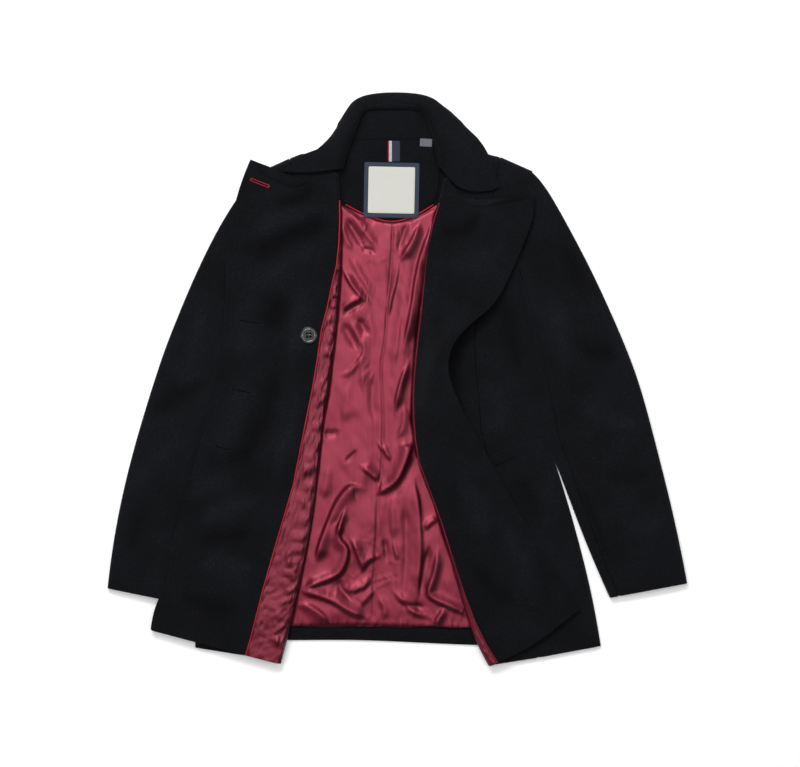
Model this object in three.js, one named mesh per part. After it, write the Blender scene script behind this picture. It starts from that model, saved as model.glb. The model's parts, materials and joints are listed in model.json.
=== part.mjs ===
// A double-breasted pea coat laid open on its back on a flat table, collar towards +Y.
// Both fronts are turned outwards, so their facings and the lining look up. Millimetres, +Z up.
// Left and right are the wearer's: the left front lies on the +X side.
// Every piece of cloth is a surface function of (u, v) with a wall built on it.
import * as THREE from 'three';

// Thickness of each cloth and the gap that is left at a seam.
const WOOL = 2.4;
const FACING_WOOL = 2.0;
const COLLAR_WOOL = 2.0;
const HEM_TURN = 1.2;
const SATIN = 1.0;
const TAPE = 1.0;
const SEAM = 0.3;

// Middle planes of the stacked layers, above the table.
const BACK_Z = WOOL / 2;
const LINING_Z = WOOL + SEAM + SATIN / 2;
const HEM_BAND_Z = WOOL + SEAM + HEM_TURN / 2;
const EDGE_Z = WOOL + 3 * SEAM;
const UNDER_Z = 6.6;
const BODY_Z = 9.5;
const HEM_Z = 6.2;
const FOLD_RADIUS = 4;
const FLAP_Z = UNDER_Z + 2 * FOLD_RADIUS;

// Distances from a front's middle surface to what lies on its inside.
const ON_FRONT = WOOL / 2 + SEAM;
const FOLD_INSET = ON_FRONT + SATIN;
const PIPING_RADIUS = 1.0;
const PIPING_ROOM = PIPING_RADIUS + 1.5 * SEAM;
const PRINCESS_GAP = 0.4;
const LINING_RETURN = 14;
const EDGE_ROUND = 14;
const SHOULDER_ROUND = 0.3;

// Collar.
const ROLL_Z = 17.5;
const ROLL_RADIUS = 3.5;
const ROLL_TAIL = 3;
const COLLAR_LAYER = COLLAR_WOOL + 3 * SEAM;

// Buttons and buttonholes.
const BUTTON_RADIUS = 12;
const BUTTON_THICK = 3;
const HOLE_RADIUS = 1.1;
const HOLE_SPREAD = 2.2;

const COLOURS = {
  wool: { color: 0x0d0e12, roughness: 0.95 },
  facing: { color: 0x101116, roughness: 0.95 },
  satin: { color: 0x8e1f38, roughness: 0.38 },
  piping: { color: 0xb01838, roughness: 0.45 },
  tape: { color: 0x1f2838, roughness: 0.8 },
  label: { color: 0xdcdcd2, roughness: 0.75 },
  labelFrame: { color: 0x2b3a4f, roughness: 0.75 },
  button: { color: 0x08080a, roughness: 0.18 },
};

// A table is written as rows under named columns.
const table = (names, rows) =>
  rows.map((row) => Object.fromEntries(names.map((name, k) => [name, row[k]])));

// Cross sections of each front, shoulder to hem. outer: shoulder, armhole and side edge; seam: the
// princess seam; fold: where the front turns outwards; edge: the front edge, lapel point to hem;
// lift: the edge above the flap's resting height; crown: the swell between fold and edge;
// piping: how far the piping lies from the fold, along the cloth.
const SECTION = ['outerX', 'outerY', 'seamX', 'seamY', 'foldX', 'foldY', 'edgeX', 'edgeY',
  'lift', 'crown', 'piping'];
const LEFT_SECTIONS = table(SECTION, [
  [189, 291, 144, 311, 64, 282, 191, 257, 2.0, 0, 4],
  [184.6, 250, 134, 255, 56, 246, 190, 228, 2.0, 0.5, 4],
  [179.8, 200, 125, 205, 43, 200, 176, 189, 2.5, 1, 4],
  [170.5, 124, 116, 140, 35, 132, 153, 138, 4, 3, 4],
  [178.5, 97, 110, 95, 30, 85, 132, 100, 9, 5, 4],
  [188, 56, 108.5, 60, 25, 45, 97, 76, 18, 9, 4],
  [193.5, 20, 109, 25, 21.5, 5, 71, 45, 27, 13, 4],
  [199.5, -20, 113, -10, 20, -32, 68, 10, 27, 14, 4],
  [204.5, -55, 116, -50, 22, -75, 81, -25, 18, 10, 4],
  [211, -90, 119, -85, 28, -115, 106, -73, 9, 5, 4],
  [225, -130, 137, -130, 49, -168, 137, -126, 4, 2, 4],
  [246, -200, 156, -205, 72, -240, 178, -199, 1.5, 1, 4],
  [266, -277, 176, -290, 91, -312, 219, -264, 0.5, 0.5, 7],
  [277, -330, 188, -345, 107, -360, 245, -307, -1, 0.5, 12],
  [284, -372, 197, -388, 127, -398, 255, -320, -2, 0, 14],
]);
const RIGHT_SECTIONS = table(SECTION, [
  [-189, 291, -150, 309, -80, 289, -204, 307, 2.2, 0, 4],
  [-184.6, 250, -142, 262, -77, 250, -218, 272, 2.2, 0.5, 4],
  [-179.8, 200, -137, 205, -77, 205, -231, 222, 2.2, 1, 4],
  [-170.5, 124, -134, 140, -77, 160, -237, 165, 2.2, 1, 7],
  [-179, 97, -133, 95, -80, 115, -238, 115, 2.2, 1, 14],
  [-188, 48, -134, 40, -84, 71, -242, 66, 2.2, 1.5, 21],
  [-194, 5, -138, 0, -92, 6, -244, 15, 2.2, 1.5, 22],
  [-201, -56, -148, -60, -102, -60, -262, -45, 2.2, 1, 25],
  [-223, -125, -158, -122, -109, -125, -279, -108, 2.2, 1, 30],
  [-246, -196, -170, -196, -116, -196, -297, -176, 2.2, 0.5, 42],
  [-266, -270, -184, -266, -130, -266, -316, -235, 1.5, 0.5, 48],
  [-274, -310, -194, -310, -141, -310, -318, -280, 1.2, 0, 49],
  [-281, -350, -204, -352, -150, -352, -336, -310, 0.6, 0, 50],
  [-281, -374, -212, -385, -161, -395, -344, -349, -4.5, 0, 51],
]);

// How far the end rows of a front bow away from a straight line: at says where, from the fold (0)
// to the front edge or the princess seam (1).
const LEFT_GORGE = table(['at', 'bow'], [[0, 0], [0.04, -10],
  [0.1, -19], [0.2, -25], [0.4, -21], [0.65, -13], [0.88, -4], [1, 0]]);
const RIGHT_GORGE = table(['at', 'bow'], [[0, 0], [0.2, -8], [0.4, -18], [0.6, -12], [0.85, -4],
  [1, 0]]);
const LEFT_FLAP_HEM = table(['at', 'bow'], [[0, 0], [0.5, -7], [1, 0]]);
const STRAIGHT = table(['at', 'bow'], [[0, 0], [1, 0]]);
const NECKLINE = table(['at', 'bow'], [[0, 0], [0.25, 20], [0.6, 17], [0.85, 8], [1, 0]]);

// Soft folds of the wool: a ridge (height above 0) or a trough from one end to the other.
const FOLD = ['x0', 'y0', 'x1', 'y1', 'width', 'height'];
const RIGHT_FRONT_FOLDS = table(FOLD, [
  [-204, 168, -100, 214, 17, -1.7],
  [-196, 222, -110, 236, 16, -1.2],
  [-220, 132, -110, 172, 20, 3.2],
  [-160, 20, -208, -104, 17, -1.6],
  [-225, -48, -150, -22, 16, 2.2],
  [-280, -190, -190, -165, 24, -1.8],
  [-286, -214, -170, -168, 15, 3.4],
  [-290, -292, -190, -330, 22, 2.0],
]);
const LEFT_FRONT_FOLDS = table(FOLD, [
  [62, 210, 128, 196, 16, -1.4],
  [70, 150, 150, 172, 22, 2.4],
  [60, -28, 92, -88, 14, -3.0],
  [60, -120, 150, -230, 24, 2.2],
  [150, -350, 200, -320, 14, 2.0],
]);
const LINING_FOLDS = table(FOLD, [
  [-48, 214, -26, 150, 13, 2.4],
  [-66, 120, -30, 66, 10, 3.2],
  [24, 224, 8, 100, 8, 4.2],
  [16, 96, -2, -30, 9, 4.0],
  [-20, 190, -14, -120, 6, 1.6],
  [-84, -8, -36, -62, 11, 2.6],
  [24, -80, -6, -136, 11, 4.6],
  [-78, -206, -44, -124, 12, 5.0],
  [-58, -206, -36, -160, 7, 3.6],
  [-96, -250, -38, -192, 9, 4.4],
  [-126, -300, -50, -232, 10, 4.8],
  [-20, -160, -34, -236, 8, 3.4],
  [10, -150, 16, -300, 12, 3.2],
  [48, -214, 40, -306, 9, 4.6],
  [74, -278, 50, -312, 8, 4.2],
  [-120, -318, -40, -338, 9, 4.4],
  [-30, -330, 60, -334, 8, 2.8],
]);
const FOLD_CLEAR = 9;

// Rings of a sleeve, armhole to cuff: the two ends of each ring and the crest between them.
const RING = ['innerX', 'innerY', 'outerX', 'outerY', 'crest'];
const LEFT_RINGS = table(RING, [
  [173.9, 134, 189.7, 290, 0],
  [180.8, 100, 211, 264, 1.5],
  [189.9, 60, 234, 222, 3],
  [196.6, 17, 262, 171, 4],
  [202.4, -25, 292, 108, 4.5],
  [208.2, -65, 319, 46, 4.2],
  [215.8, -98, 340, -10, 3.6],
  [228, -130, 357, -75, 3.6],
  [246, -178, 374, -140, 3.2],
  [266.5, -232, 391, -212, 2.6],
  [298, -304, 405, -284, 1.6],
]);
const RIGHT_RINGS = table(RING, [
  [-173.9, 134, -189.7, 290, 0],
  [-186.5, 100, -216, 264, 1.5],
  [-194.5, 60, -243, 222, 3],
  [-198.5, 17, -270, 171, 4],
  [-203, -25, -299, 105, 4.2],
  [-208, -65, -325, 40, 4.0],
  [-220, -98, -346, -25, 3.6],
  [-236, -130, -366, -92, 3.6],
  [-256, -178, -382, -155, 3.2],
  [-276, -236, -396, -226, 2.4],
  [-299, -312, -404, -291, 1.6],
]);
const RING_END = (BODY_Z - BACK_Z) / 2;
const SLEEVE_SEAM_TOP = 0.11;
const SLEEVE_SEAM_UNDER = 0.86;

// Collar sections from the right end, round the back neck, to the left end. roll: where the collar
// turns over; it leaves the roll at rollAngle, bends by the point turn and ends at edge.
const COLLAR = ['rollX', 'rollY', 'rollAngle', 'rollReach', 'turnX', 'turnY', 'edgeX', 'edgeY',
  'edgeZ'];
const COLLAR_SECTIONS = table(COLLAR, [
  [-79, 294, 186, 26, -135, 286, -161, 291, 14.6],
  [-76, 308, 172, 20, -119, 303, -137, 305, 14.6],
  [-72, 322, 166, 14, -101, 320, -113, 319, 14],
  [-65, 339, 162, 14, -86, 339, -97, 334, 10],
  [-58, 358, 150, 18, -87, 363, -82, 349, 4],
  [-47, 379, 120, 26, -73, 391, -54, 345, 1.1],
  [-30, 382, 100, 29, -40, 409, -34, 343, 1.1],
  [-5, 383, 90, 29, -5, 411, -5, 342, 1.1],
  [20, 382, 82, 29, 29, 410, 24, 343, 1.1],
  [34, 379, 62, 30, 65, 395, 52, 345, 1.4],
  [46, 363, 40, 27, 93, 370, 86, 353, 3.2],
  [53, 345, 20, 24, 100, 350, 108, 341, 7.5],
  [57, 328, 8, 22, 111, 327, 124, 322, 12],
  [60, 310, 0, 22, 114, 307, 131, 304, 14.6],
  [62.5, 300, -8, 22, 115, 288, 137, 287, 14.6],
  [63, 293, -60, 34, 105.5, 254.5, 143, 268, 14.6],
]);
const COLLAR_ARC = 0.22;
const UNDER_SHORT = 2;
const COLLAR_ROWS = [0, 1, 2, 3, 3.5, 4, 4.5, 5, 5.7, 6.6, 7.6, 8.4, 9, 9.5, 9.9, 10.3, 10.7,
  11.2, 11.8, 12.5, 13.2, 14, 15];

// Plan outlines of the flat pieces on the inside of the back.
const point = ['x', 'y'];
const PIPED_CURVE = table(point, [[-74.5, 248], [-40, 231], [-8, 223], [22, 230], [53.5, 248]]);
const NECK_SEAM = table(point, [[-62, 335], [-30, 336], [0, 336.5], [30, 336], [52, 335]]);
const NECK_SIDE_RIGHT = table(point, [[-62, 335], [-69, 318], [-73, 300], [-75, 284],
  [-74.5, 248]]);
const NECK_SIDE_LEFT = table(point, [[52, 335], [57, 318], [60, 300], [60, 284], [53.5, 248]]);
const STAND_TOP = table(point, [[-44, 376], [-25, 378], [-5, 378.5], [16, 378], [31, 376]]);
const BACK_HEM = table(point, [[-282, -364], [-150, -364], [-50, -364], [114, -371], [284, -372]]);
const BACK_NECK = table(point, [[-189, 291], [-147, 310], [-112, 323], [-76, 335], [-56, 341],
  [-30, 341.5], [0, 341.5], [28, 341.5], [50, 341], [76, 334], [112, 321], [144, 311], [189, 291]]);
const LINING_HEM_Y = -346;
const LINING_UNDER = 15;
const HEM_BAND_TOP = -347.5;

// Small pieces.
const LABEL = { x: -7.7, y: 265.3, width: 77, height: 77, turn: -0.02, frame: 6, thick: 0.8 };
const LOOP = { x: -4.2, top: 334, bottom: 303.5, width: 17 };
const STAND_GAP = 0.6;
const NECK_RISE = 1.9;
const SIZE_LABEL = { x: 40.5, y: 331.5, width: 17, height: 11 };
const INNER_BUTTON = { x: -123.2, y: 63 };
const HIDDEN_BUTTONS = table(['section', 'at', 'drop'], [[0.31, 0.5, 0.3], [0.56, 0.5, 2.9],
  [0.7, 0.45, 1.2]]);
const FRONT_LENGTH = 700;
const WELT = { from: 0.3, to: 1.42, width: 16, thick: 1.2, section: 0.69 };

const mix = (a, b, t) => a + (b - a) * t;
const clamp01 = (t) => Math.min(1, Math.max(0, t));
const smooth = (t) => {
  const c = clamp01(t);
  return c * c * (3 - 2 * c);
};

// The height of a quarter ellipse that rises from an edge: 0 at the edge, 1 at t = 1 and beyond.
const rounded = (t) => Math.sqrt(1 - (1 - clamp01(t)) ** 2);
const steps = (from, to, count) =>
  Array.from({ length: count + 1 }, (_, k) => mix(from, to, k / count));

// A smooth plan curve through the named x and y columns of a table, as a function of 0 to 1.
function planCurve(rows, x = 'x', y = 'y') {
  const points = rows.map((row) => new THREE.Vector3(row[x], row[y], 0));
  const curve = new THREE.CatmullRomCurve3(points, false, 'centripetal');
  return (t) => curve.getPoint(clamp01(t));
}

// The value of one column along a table, eased from row to row.
function column(rows, name) {
  return (t) => {
    const place = clamp01(t) * (rows.length - 1);
    const k = Math.min(rows.length - 2, Math.floor(place));
    return mix(rows[k][name], rows[k + 1][name], smooth(place - k));
  };
}

// The bow of an end row at a place from 0 to 1.
function bowAt(rows, t) {
  const k = Math.max(0, rows.findIndex((row) => row.at >= t) - 1);
  const next = rows[k + 1];
  return mix(rows[k].bow, next.bow, smooth((t - rows[k].at) / (next.at - rows[k].at)));
}

// The sum of soft folds at a plan point. Each is a rounded bar that fades out at its ends.
function foldHeight(folds, x, y) {
  let sum = 0;
  for (const fold of folds) {
    const dx = fold.x1 - fold.x0;
    const dy = fold.y1 - fold.y0;
    const length = Math.hypot(dx, dy);
    const along = ((x - fold.x0) * dx + (y - fold.y0) * dy) / length;
    const across = ((x - fold.x0) * dy - (y - fold.y0) * dx) / length;
    const past = Math.max(0, -along, along - length);
    const far = (across * across + past * past) / (fold.width * fold.width);
    sum += fold.height * Math.exp(-2 * far);
  }
  return sum;
}

// The outward normal of a surface by small differences, kept inside its range.
function normalOf(surface, u, v) {
  const e = 2e-3;
  const { u0, u1 } = surface.range;
  const du = surface.at(Math.min(u1, u + e), v).sub(surface.at(Math.max(u0, u - e), v));
  const dv = surface.at(u, Math.min(1, v + e)).sub(surface.at(u, Math.max(0, v - e)));
  return du.cross(dv).normalize().multiplyScalar(surface.side);
}

const surfaceOf = (at, side = 1, u0 = 0, u1 = 1) => ({ at, side, range: { u0, u1 } });
const shifted = (surface, u, v, distance) =>
  surface.at(u, v).addScaledVector(normalOf(surface, u, v), distance);

// A closed solid between two grids of the same size, with a rim all round.
function solidBetween(lower, upper) {
  const rows = lower.length;
  const cols = lower[0].length;
  const positions = [];
  const index = [];
  for (const grid of [lower, upper]) {
    for (const row of grid) row.forEach((p) => positions.push(p.x, p.y, p.z));
  }
  const id = (layer, i, j) => layer * rows * cols + i * cols + j;
  const quad = (a, b, c, d) => index.push(a, b, c, a, c, d);
  for (let i = 0; i + 1 < rows; i += 1) {
    for (let j = 0; j + 1 < cols; j += 1) {
      quad(id(1, i, j), id(1, i, j + 1), id(1, i + 1, j + 1), id(1, i + 1, j));
      quad(id(0, i, j), id(0, i + 1, j), id(0, i + 1, j + 1), id(0, i, j + 1));
    }
  }
  const rim = [];
  for (let j = 0; j + 1 < cols; j += 1) rim.push([0, j]);
  for (let i = 0; i + 1 < rows; i += 1) rim.push([i, cols - 1]);
  for (let j = cols - 1; j > 0; j -= 1) rim.push([rows - 1, j]);
  for (let i = rows - 1; i > 0; i -= 1) rim.push([i, 0]);
  rim.forEach(([i, j], k) => {
    const [ni, nj] = rim[(k + 1) % rim.length];
    quad(id(0, i, j), id(0, ni, nj), id(1, ni, nj), id(1, i, j));
  });
  return facingOut(positions, index);
}

// Turns every face round if the solid's volume comes out negative.
function facingOut(positions, index) {
  let volume = 0;
  const p = (k) => new THREE.Vector3().fromArray(positions, 3 * k);
  for (let k = 0; k < index.length; k += 3) {
    volume += p(index[k]).dot(p(index[k + 1]).cross(p(index[k + 2])));
  }
  if (volume < 0) {
    for (let k = 0; k < index.length; k += 3) {
      [index[k + 1], index[k + 2]] = [index[k + 2], index[k + 1]];
    }
  }
  const geometry = new THREE.BufferGeometry();
  geometry.setAttribute('position', new THREE.Float32BufferAttribute(positions, 3));
  geometry.setIndex(index);
  geometry.computeVertexNormals();
  return geometry;
}

// The cloth wall that lies between two distances from a surface. us may be a function of v.
function wall(surface, us, vs, from, to) {
  const grid = (distance) => vs.map((v) => {
    const across = typeof us === 'function' ? us(v) : us;
    return across.map((u) => shifted(surface, u, v, distance));
  });
  return solidBetween(grid(from), grid(to));
}

// A round cord along a list of centre points.
function cord(centres, radius, sides = 6) {
  const positions = [];
  const index = [];
  const last = centres.length - 1;
  centres.forEach((centre, i) => {
    const before = centres[Math.max(0, i - 1)];
    const ahead = centres[Math.min(last, i + 1)].clone().sub(before).normalize();
    const side = new THREE.Vector3(0, 0, 1).cross(ahead).normalize();
    const up = ahead.clone().cross(side);
    for (let k = 0; k < sides; k += 1) {
      const turn = (2 * Math.PI * (k + 0.5)) / sides;
      const rim = centre.clone()
        .addScaledVector(side, radius * Math.cos(turn))
        .addScaledVector(up, radius * Math.sin(turn));
      positions.push(rim.x, rim.y, rim.z);
    }
  });
  for (let i = 0; i < last; i += 1) {
    for (let k = 0; k < sides; k += 1) {
      const a = i * sides + k;
      const b = i * sides + ((k + 1) % sides);
      index.push(a, b, b + sides, a, b + sides, a + sides);
    }
  }
  for (let k = 1; k + 1 < sides; k += 1) {
    index.push(0, k + 1, k);
    index.push(last * sides, last * sides + k, last * sides + k + 1);
  }
  return facingOut(positions, index);
}

// A front: everything that hangs on one sections table. outward is +1 on the +X side.
function makeFront(sections, outward, gorge, flapHem, folds, liningColumns) {
  const outer = planCurve(sections, 'outerX', 'outerY');
  const seam = planCurve(sections, 'seamX', 'seamY');
  const fold = planCurve(sections, 'foldX', 'foldY');
  const edge = planCurve(sections, 'edgeX', 'edgeY');
  const lift = column(sections, 'lift');
  const crown = column(sections, 'crown');
  const piping = column(sections, 'piping');
  const last = sections.length - 1;

  // Fades the bow of the first and last rows into the panel.
  const topFade = (v) => (1 - clamp01((v * last) / 2.2)) ** 2;
  const hemFade = (v) => (1 - clamp01(((1 - v) * last) / 2)) ** 2;
  const shoulder = (v) => rounded((v * last) / SHOULDER_ROUND);
  const belowArmhole = (v) => smooth((v * last - 2.95) / 0.9);
  const bodyLevel = (v) => mix(HEM_Z, BODY_Z, smooth(((1 - v) * last) / 2));

  const foldStart = (v) => fold(v).addScaledVector(new THREE.Vector3(outward, 0, 0),
    FOLD_INSET + FOLD_RADIUS);
  const flapWidth = (v) => foldStart(v).distanceTo(edge(v));

  // u from the outer edge (0) to the princess seam (1).
  const sidePanel = surfaceOf((u, v) => {
    const p = outer(v).lerp(seam(v), u);
    const fromEdge = (u * outer(v).distanceTo(seam(v))) / EDGE_ROUND;
    const side = mix(1, rounded(fromEdge), belowArmhole(v));
    p.z = mix(EDGE_Z, bodyLevel(v), side * shoulder(v));
    return p;
  }, outward);

  // u from the princess seam (-1) to the fold (0), round the fold (1) and out to the edge (2).
  const front = surfaceOf((u, v) => {
    const start = foldStart(v);
    if (u <= 0) {
      const p = start.clone().lerp(seam(v), -u);
      p.y += bowAt(NECKLINE, -u) * topFade(v);
      const level = mix(UNDER_Z, bodyLevel(v), smooth(-u * 1.4));
      p.z = mix(EDGE_Z, level, mix(1, shoulder(v), smooth((-u - 0.45) * 4)));
      return p;
    }
    if (u < 1) {
      const turn = Math.PI * u;
      start.x -= outward * FOLD_RADIUS * Math.sin(turn);
      start.z = UNDER_Z + FOLD_RADIUS * (1 - Math.cos(turn));
      return start;
    }
    const s = u - 1;
    const p = start.lerp(edge(v), s);
    p.y += bowAt(gorge, s) * topFade(v) + bowAt(flapHem, s) * hemFade(v);
    const soft = smooth(s * 6) * smooth((1 - s) * 5 + 0.35);
    p.z = FLAP_Z + lift(v) * smooth(s * 1.15) + crown(v) * Math.sin(Math.PI * s)
      + foldHeight(folds, p.x, p.y) * soft;
    return p;
  }, -outward, -1.5, 2);

  // The place u of the piping on the front, and of a point a little further along the cloth.
  const alongFlap = (v, distance) => {
    const halfTurn = (Math.PI * FOLD_RADIUS) / 2;
    if (distance < halfTurn) return 0.5 + (0.5 * distance) / halfTurn;
    return 1 + (distance - halfTurn) / flapWidth(v);
  };
  return {
    last, outward, outer, seam, fold, piping, sidePanel, front, alongFlap, liningColumns,
  };
}

const left = makeFront(LEFT_SECTIONS, 1, LEFT_GORGE, LEFT_FLAP_HEM, LEFT_FRONT_FOLDS,
  [0, 0.25, 0.5, 0.75, 1]);
const right = makeFront(RIGHT_SECTIONS, -1, RIGHT_GORGE, STRAIGHT, RIGHT_FRONT_FOLDS,
  [0, 0.25, 0.5, 0.75, 1, 1.125, 1.25]);

// Rows down a front: close together where the shoulder rounds over, then even.
const frontRows = (part) => {
  const top = [0, 0.03, 0.1, 0.2, 0.32].map((row) => row / part.last);
  return [...top, ...steps(1, part.last, 18).map((row) => row / part.last)];
};
const EDGE_COLUMNS = [0, 0.08, 0.3, 0.62, 1];
const FOLD_COLUMNS = [0, 0.25, 0.5, 0.75];
const FLAP_COLUMNS = steps(1, 2, 8);

function sidePanelWall(part) {
  const columns = (v) => {
    const round = EDGE_ROUND / part.outer(v).distanceTo(part.seam(v));
    const across = [...EDGE_COLUMNS.map((t) => t * round), ...steps(round, 1, 3).slice(1)];
    across[across.length - 1] = 1 - PRINCESS_GAP / part.outer(v).distanceTo(part.seam(v));
    return across;
  };
  return wall(part.sidePanel, columns, frontRows(part), -WOOL / 2, WOOL / 2);
}

function frontWall(part) {
  const columns = (v) => {
    const gap = PRINCESS_GAP / part.seam(v).distanceTo(part.fold(v));
    return [-1 + gap, -0.75, -0.5, -0.25, ...FOLD_COLUMNS, ...FLAP_COLUMNS];
  };
  return wall(part.front, columns, frontRows(part), -WOOL / 2, WOOL / 2);
}

// Columns at fixed places that give way to a start or an end that moves along the front.
const pushedUp = (columns, start) => columns.map((u, k) => Math.max(u, start + 0.006 * (k + 1)));
const pushedDown = (columns, end) =>
  columns.map((u, k) => Math.min(u, end - 0.006 * (columns.length - k)));

function facingWall(part) {
  const columns = (v) => {
    const start = part.alongFlap(v, part.piping(v) + PIPING_ROOM);
    return [start, ...pushedUp(FLAP_COLUMNS, start)];
  };
  return wall(part.front, columns, frontRows(part), ON_FRONT, ON_FRONT + FACING_WOOL);
}

// The strip of front lining from the piping, round the fold and a little way under it.
function frontLiningWall(part) {
  const columns = (v) => {
    const under = -LINING_RETURN / part.seam(v).distanceTo(part.fold(v));
    const end = part.alongFlap(v, part.piping(v) - PIPING_ROOM);
    return [under, ...pushedDown(part.liningColumns, end), end];
  };
  return wall(part.front, columns, frontRows(part).slice(5), ON_FRONT, ON_FRONT + SATIN);
}

function pipingCord(part) {
  const centres = frontRows(part).slice(5).map((v) =>
    shifted(part.front, part.alongFlap(v, part.piping(v)), v, ON_FRONT + PIPING_RADIUS));
  return cord(centres, PIPING_RADIUS);
}

// A sleeve ring is walked once round: u 0 at the seam on the upper side near the inner edge,
// across the top, round the outer end, under to the second seam (1), and on to the first again (2).
function makeSleeve(rings, outward) {
  const inner = planCurve(rings, 'innerX', 'innerY');
  const outer = planCurve(rings, 'outerX', 'outerY');
  const crest = column(rings, 'crest');
  const topZ = (s, v) => BACK_Z + 2 * RING_END + crest(v) * Math.sin(Math.PI * clamp01(s)) ** 0.9;
  const onPlan = (s, v, z) => {
    const p = inner(v).lerp(outer(v), s);
    p.z = z;
    return p;
  };
  const width = (v) => inner(v).distanceTo(outer(v));
  const endArc = (turn, v, atOuter) => {
    const share = RING_END / width(v);
    const centre = atOuter ? 1 - share : share;
    const s = centre + (atOuter ? 1 : -1) * share * Math.sin(turn);
    return onPlan(s, v, BACK_Z + RING_END * (1 - Math.cos(turn)));
  };
  const topPart = surfaceOf((u, v) => {
    const share = RING_END / width(v);
    if (u < 0.7) {
      const s = mix(SLEEVE_SEAM_TOP, 1 - share, u / 0.7);
      const blend = (s - share) / (1 - 2 * share);
      return onPlan(s, v, topZ(blend, v));
    }
    if (u < 0.9) return endArc(Math.PI * (1 - (u - 0.7) / 0.2), v, true);
    return onPlan(mix(1 - share, SLEEVE_SEAM_UNDER, (u - 0.9) / 0.1), v, BACK_Z);
  }, outward);
  const underPart = surfaceOf((u, v) => {
    const share = RING_END / width(v);
    if (u < 0.6) return onPlan(mix(SLEEVE_SEAM_UNDER, share, u / 0.6), v, BACK_Z);
    if (u < 0.85) return endArc(Math.PI * ((u - 0.6) / 0.25), v, false);
    const s = mix(share, SLEEVE_SEAM_TOP, (u - 0.85) / 0.15);
    const blend = (s - share) / (1 - 2 * share);
    return onPlan(s, v, topZ(blend, v));
  }, outward);
  return { topPart, underPart, width };
}

const leftSleeve = makeSleeve(LEFT_RINGS, 1);
const rightSleeve = makeSleeve(RIGHT_RINGS, -1);

function topSleeveWall(sleeve) {
  const columns = (v) => {
    const gap = SEAM / sleeve.width(v);
    return [gap, ...steps(0, 0.7, 6).slice(1), 0.75, 0.8, 0.85, 0.9, 1 - gap];
  };
  return wall(sleeve.topPart, columns, steps(0, 1, 12), -WOOL / 2, WOOL / 2);
}

function underSleeveWall(sleeve) {
  const columns = (v) => {
    const gap = SEAM / sleeve.width(v);
    return [gap, 0.2, 0.4, 0.6, 0.6625, 0.725, 0.7875, 0.85, 1 - 2 * gap];
  };
  return wall(sleeve.underPart, columns, steps(0, 1, 12), -WOOL / 2, WOOL / 2);
}

// The collar: a small turn on the inside of the roll, then a curve out to the edge.
function makeCollar(sections) {
  const curves = {};
  for (const name of COLLAR) curves[name] = smoothColumn(sections, name);
  const polar = (x, y, angle, reach, z) => new THREE.Vector3(
    x + reach * Math.cos(THREE.MathUtils.degToRad(angle)),
    y + reach * Math.sin(THREE.MathUtils.degToRad(angle)),
    z,
  );
  return surfaceOf((u, v) => {
    const c = Object.fromEntries(COLLAR.map((name) => [name, curves[name](v)]));
    if (u < COLLAR_ARC) {
      const t = u / COLLAR_ARC;
      const tail = 0.35;
      const turn = (Math.PI / 2) * clamp01((t - tail) / (1 - tail));
      const reach = -ROLL_RADIUS * Math.cos(turn);
      const z = ROLL_Z - ROLL_RADIUS * (1 - Math.sin(turn)) - ROLL_TAIL * clamp01(1 - t / tail);
      return polar(c.rollX, c.rollY, c.rollAngle, reach, z);
    }
    const edgeZ = Math.max(COLLAR_WOOL / 2 + SEAM / 3, c.edgeZ);
    const path = new THREE.CubicBezierCurve3(
      new THREE.Vector3(c.rollX, c.rollY, ROLL_Z),
      polar(c.rollX, c.rollY, c.rollAngle, c.rollReach, ROLL_Z),
      new THREE.Vector3(c.turnX, c.turnY, edgeZ),
      new THREE.Vector3(c.edgeX, c.edgeY, edgeZ),
    );
    return path.getPoint((u - COLLAR_ARC) / (1 - COLLAR_ARC));
  }, -1);
}

// A column of a table as a smooth curve through its rows.
function smoothColumn(rows, name) {
  const points = rows.map((row, k) => new THREE.Vector3(k, row[name], 0));
  const curve = new THREE.CatmullRomCurve3(points, false, 'catmullrom', 0.5);
  return (t) => curve.getPoint(clamp01(t)).y;
}

const collar = makeCollar(COLLAR_SECTIONS);

const COLLAR_COLUMNS = [0, 0.077, 0.15, ...steps(COLLAR_ARC, 1, 7)];

// The under collar is cut shorter than the upper one, so that it never shows past its edge.
const UNDER_COLUMNS = COLLAR_COLUMNS.slice(0, -UNDER_SHORT);

function collarWall(columns, from, to) {
  const rows = COLLAR_ROWS.map((row) => row / (COLLAR_SECTIONS.length - 1));
  return wall(collar, columns, rows, from, to);
}

// A flat patch between four plan curves. across runs from right to left, down from top to bottom.
function patch(top, bottom, rightSide, leftSide, heightAt) {
  return surfaceOf((u, v) => {
    const p = top(u).multiplyScalar(1 - v).addScaledVector(bottom(u), v);
    p.addScaledVector(rightSide(v), 1 - u).addScaledVector(leftSide(v), u);
    p.addScaledVector(top(0), -(1 - u) * (1 - v)).addScaledVector(top(1), -u * (1 - v));
    p.addScaledVector(bottom(0), -(1 - u) * v).addScaledVector(bottom(1), -u * v);
    p.z = heightAt(p.x, p.y, u, v);
    return p;
  }, -1);
}

function backSurface() {
  return patch(planCurve(BACK_NECK), planCurve(BACK_HEM), trimmed(right.outer, -282, -364),
    trimmed(left.outer, 284, -372), () => BACK_Z);
}

// A side curve whose last point is moved to the hem's corner.
function trimmed(curve, x, y) {
  const end = curve(1);
  return (v) => {
    const p = curve(v);
    const share = v ** 6;
    return p.add(new THREE.Vector3((x - end.x) * share, (y - end.y) * share, 0));
  };
}

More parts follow.
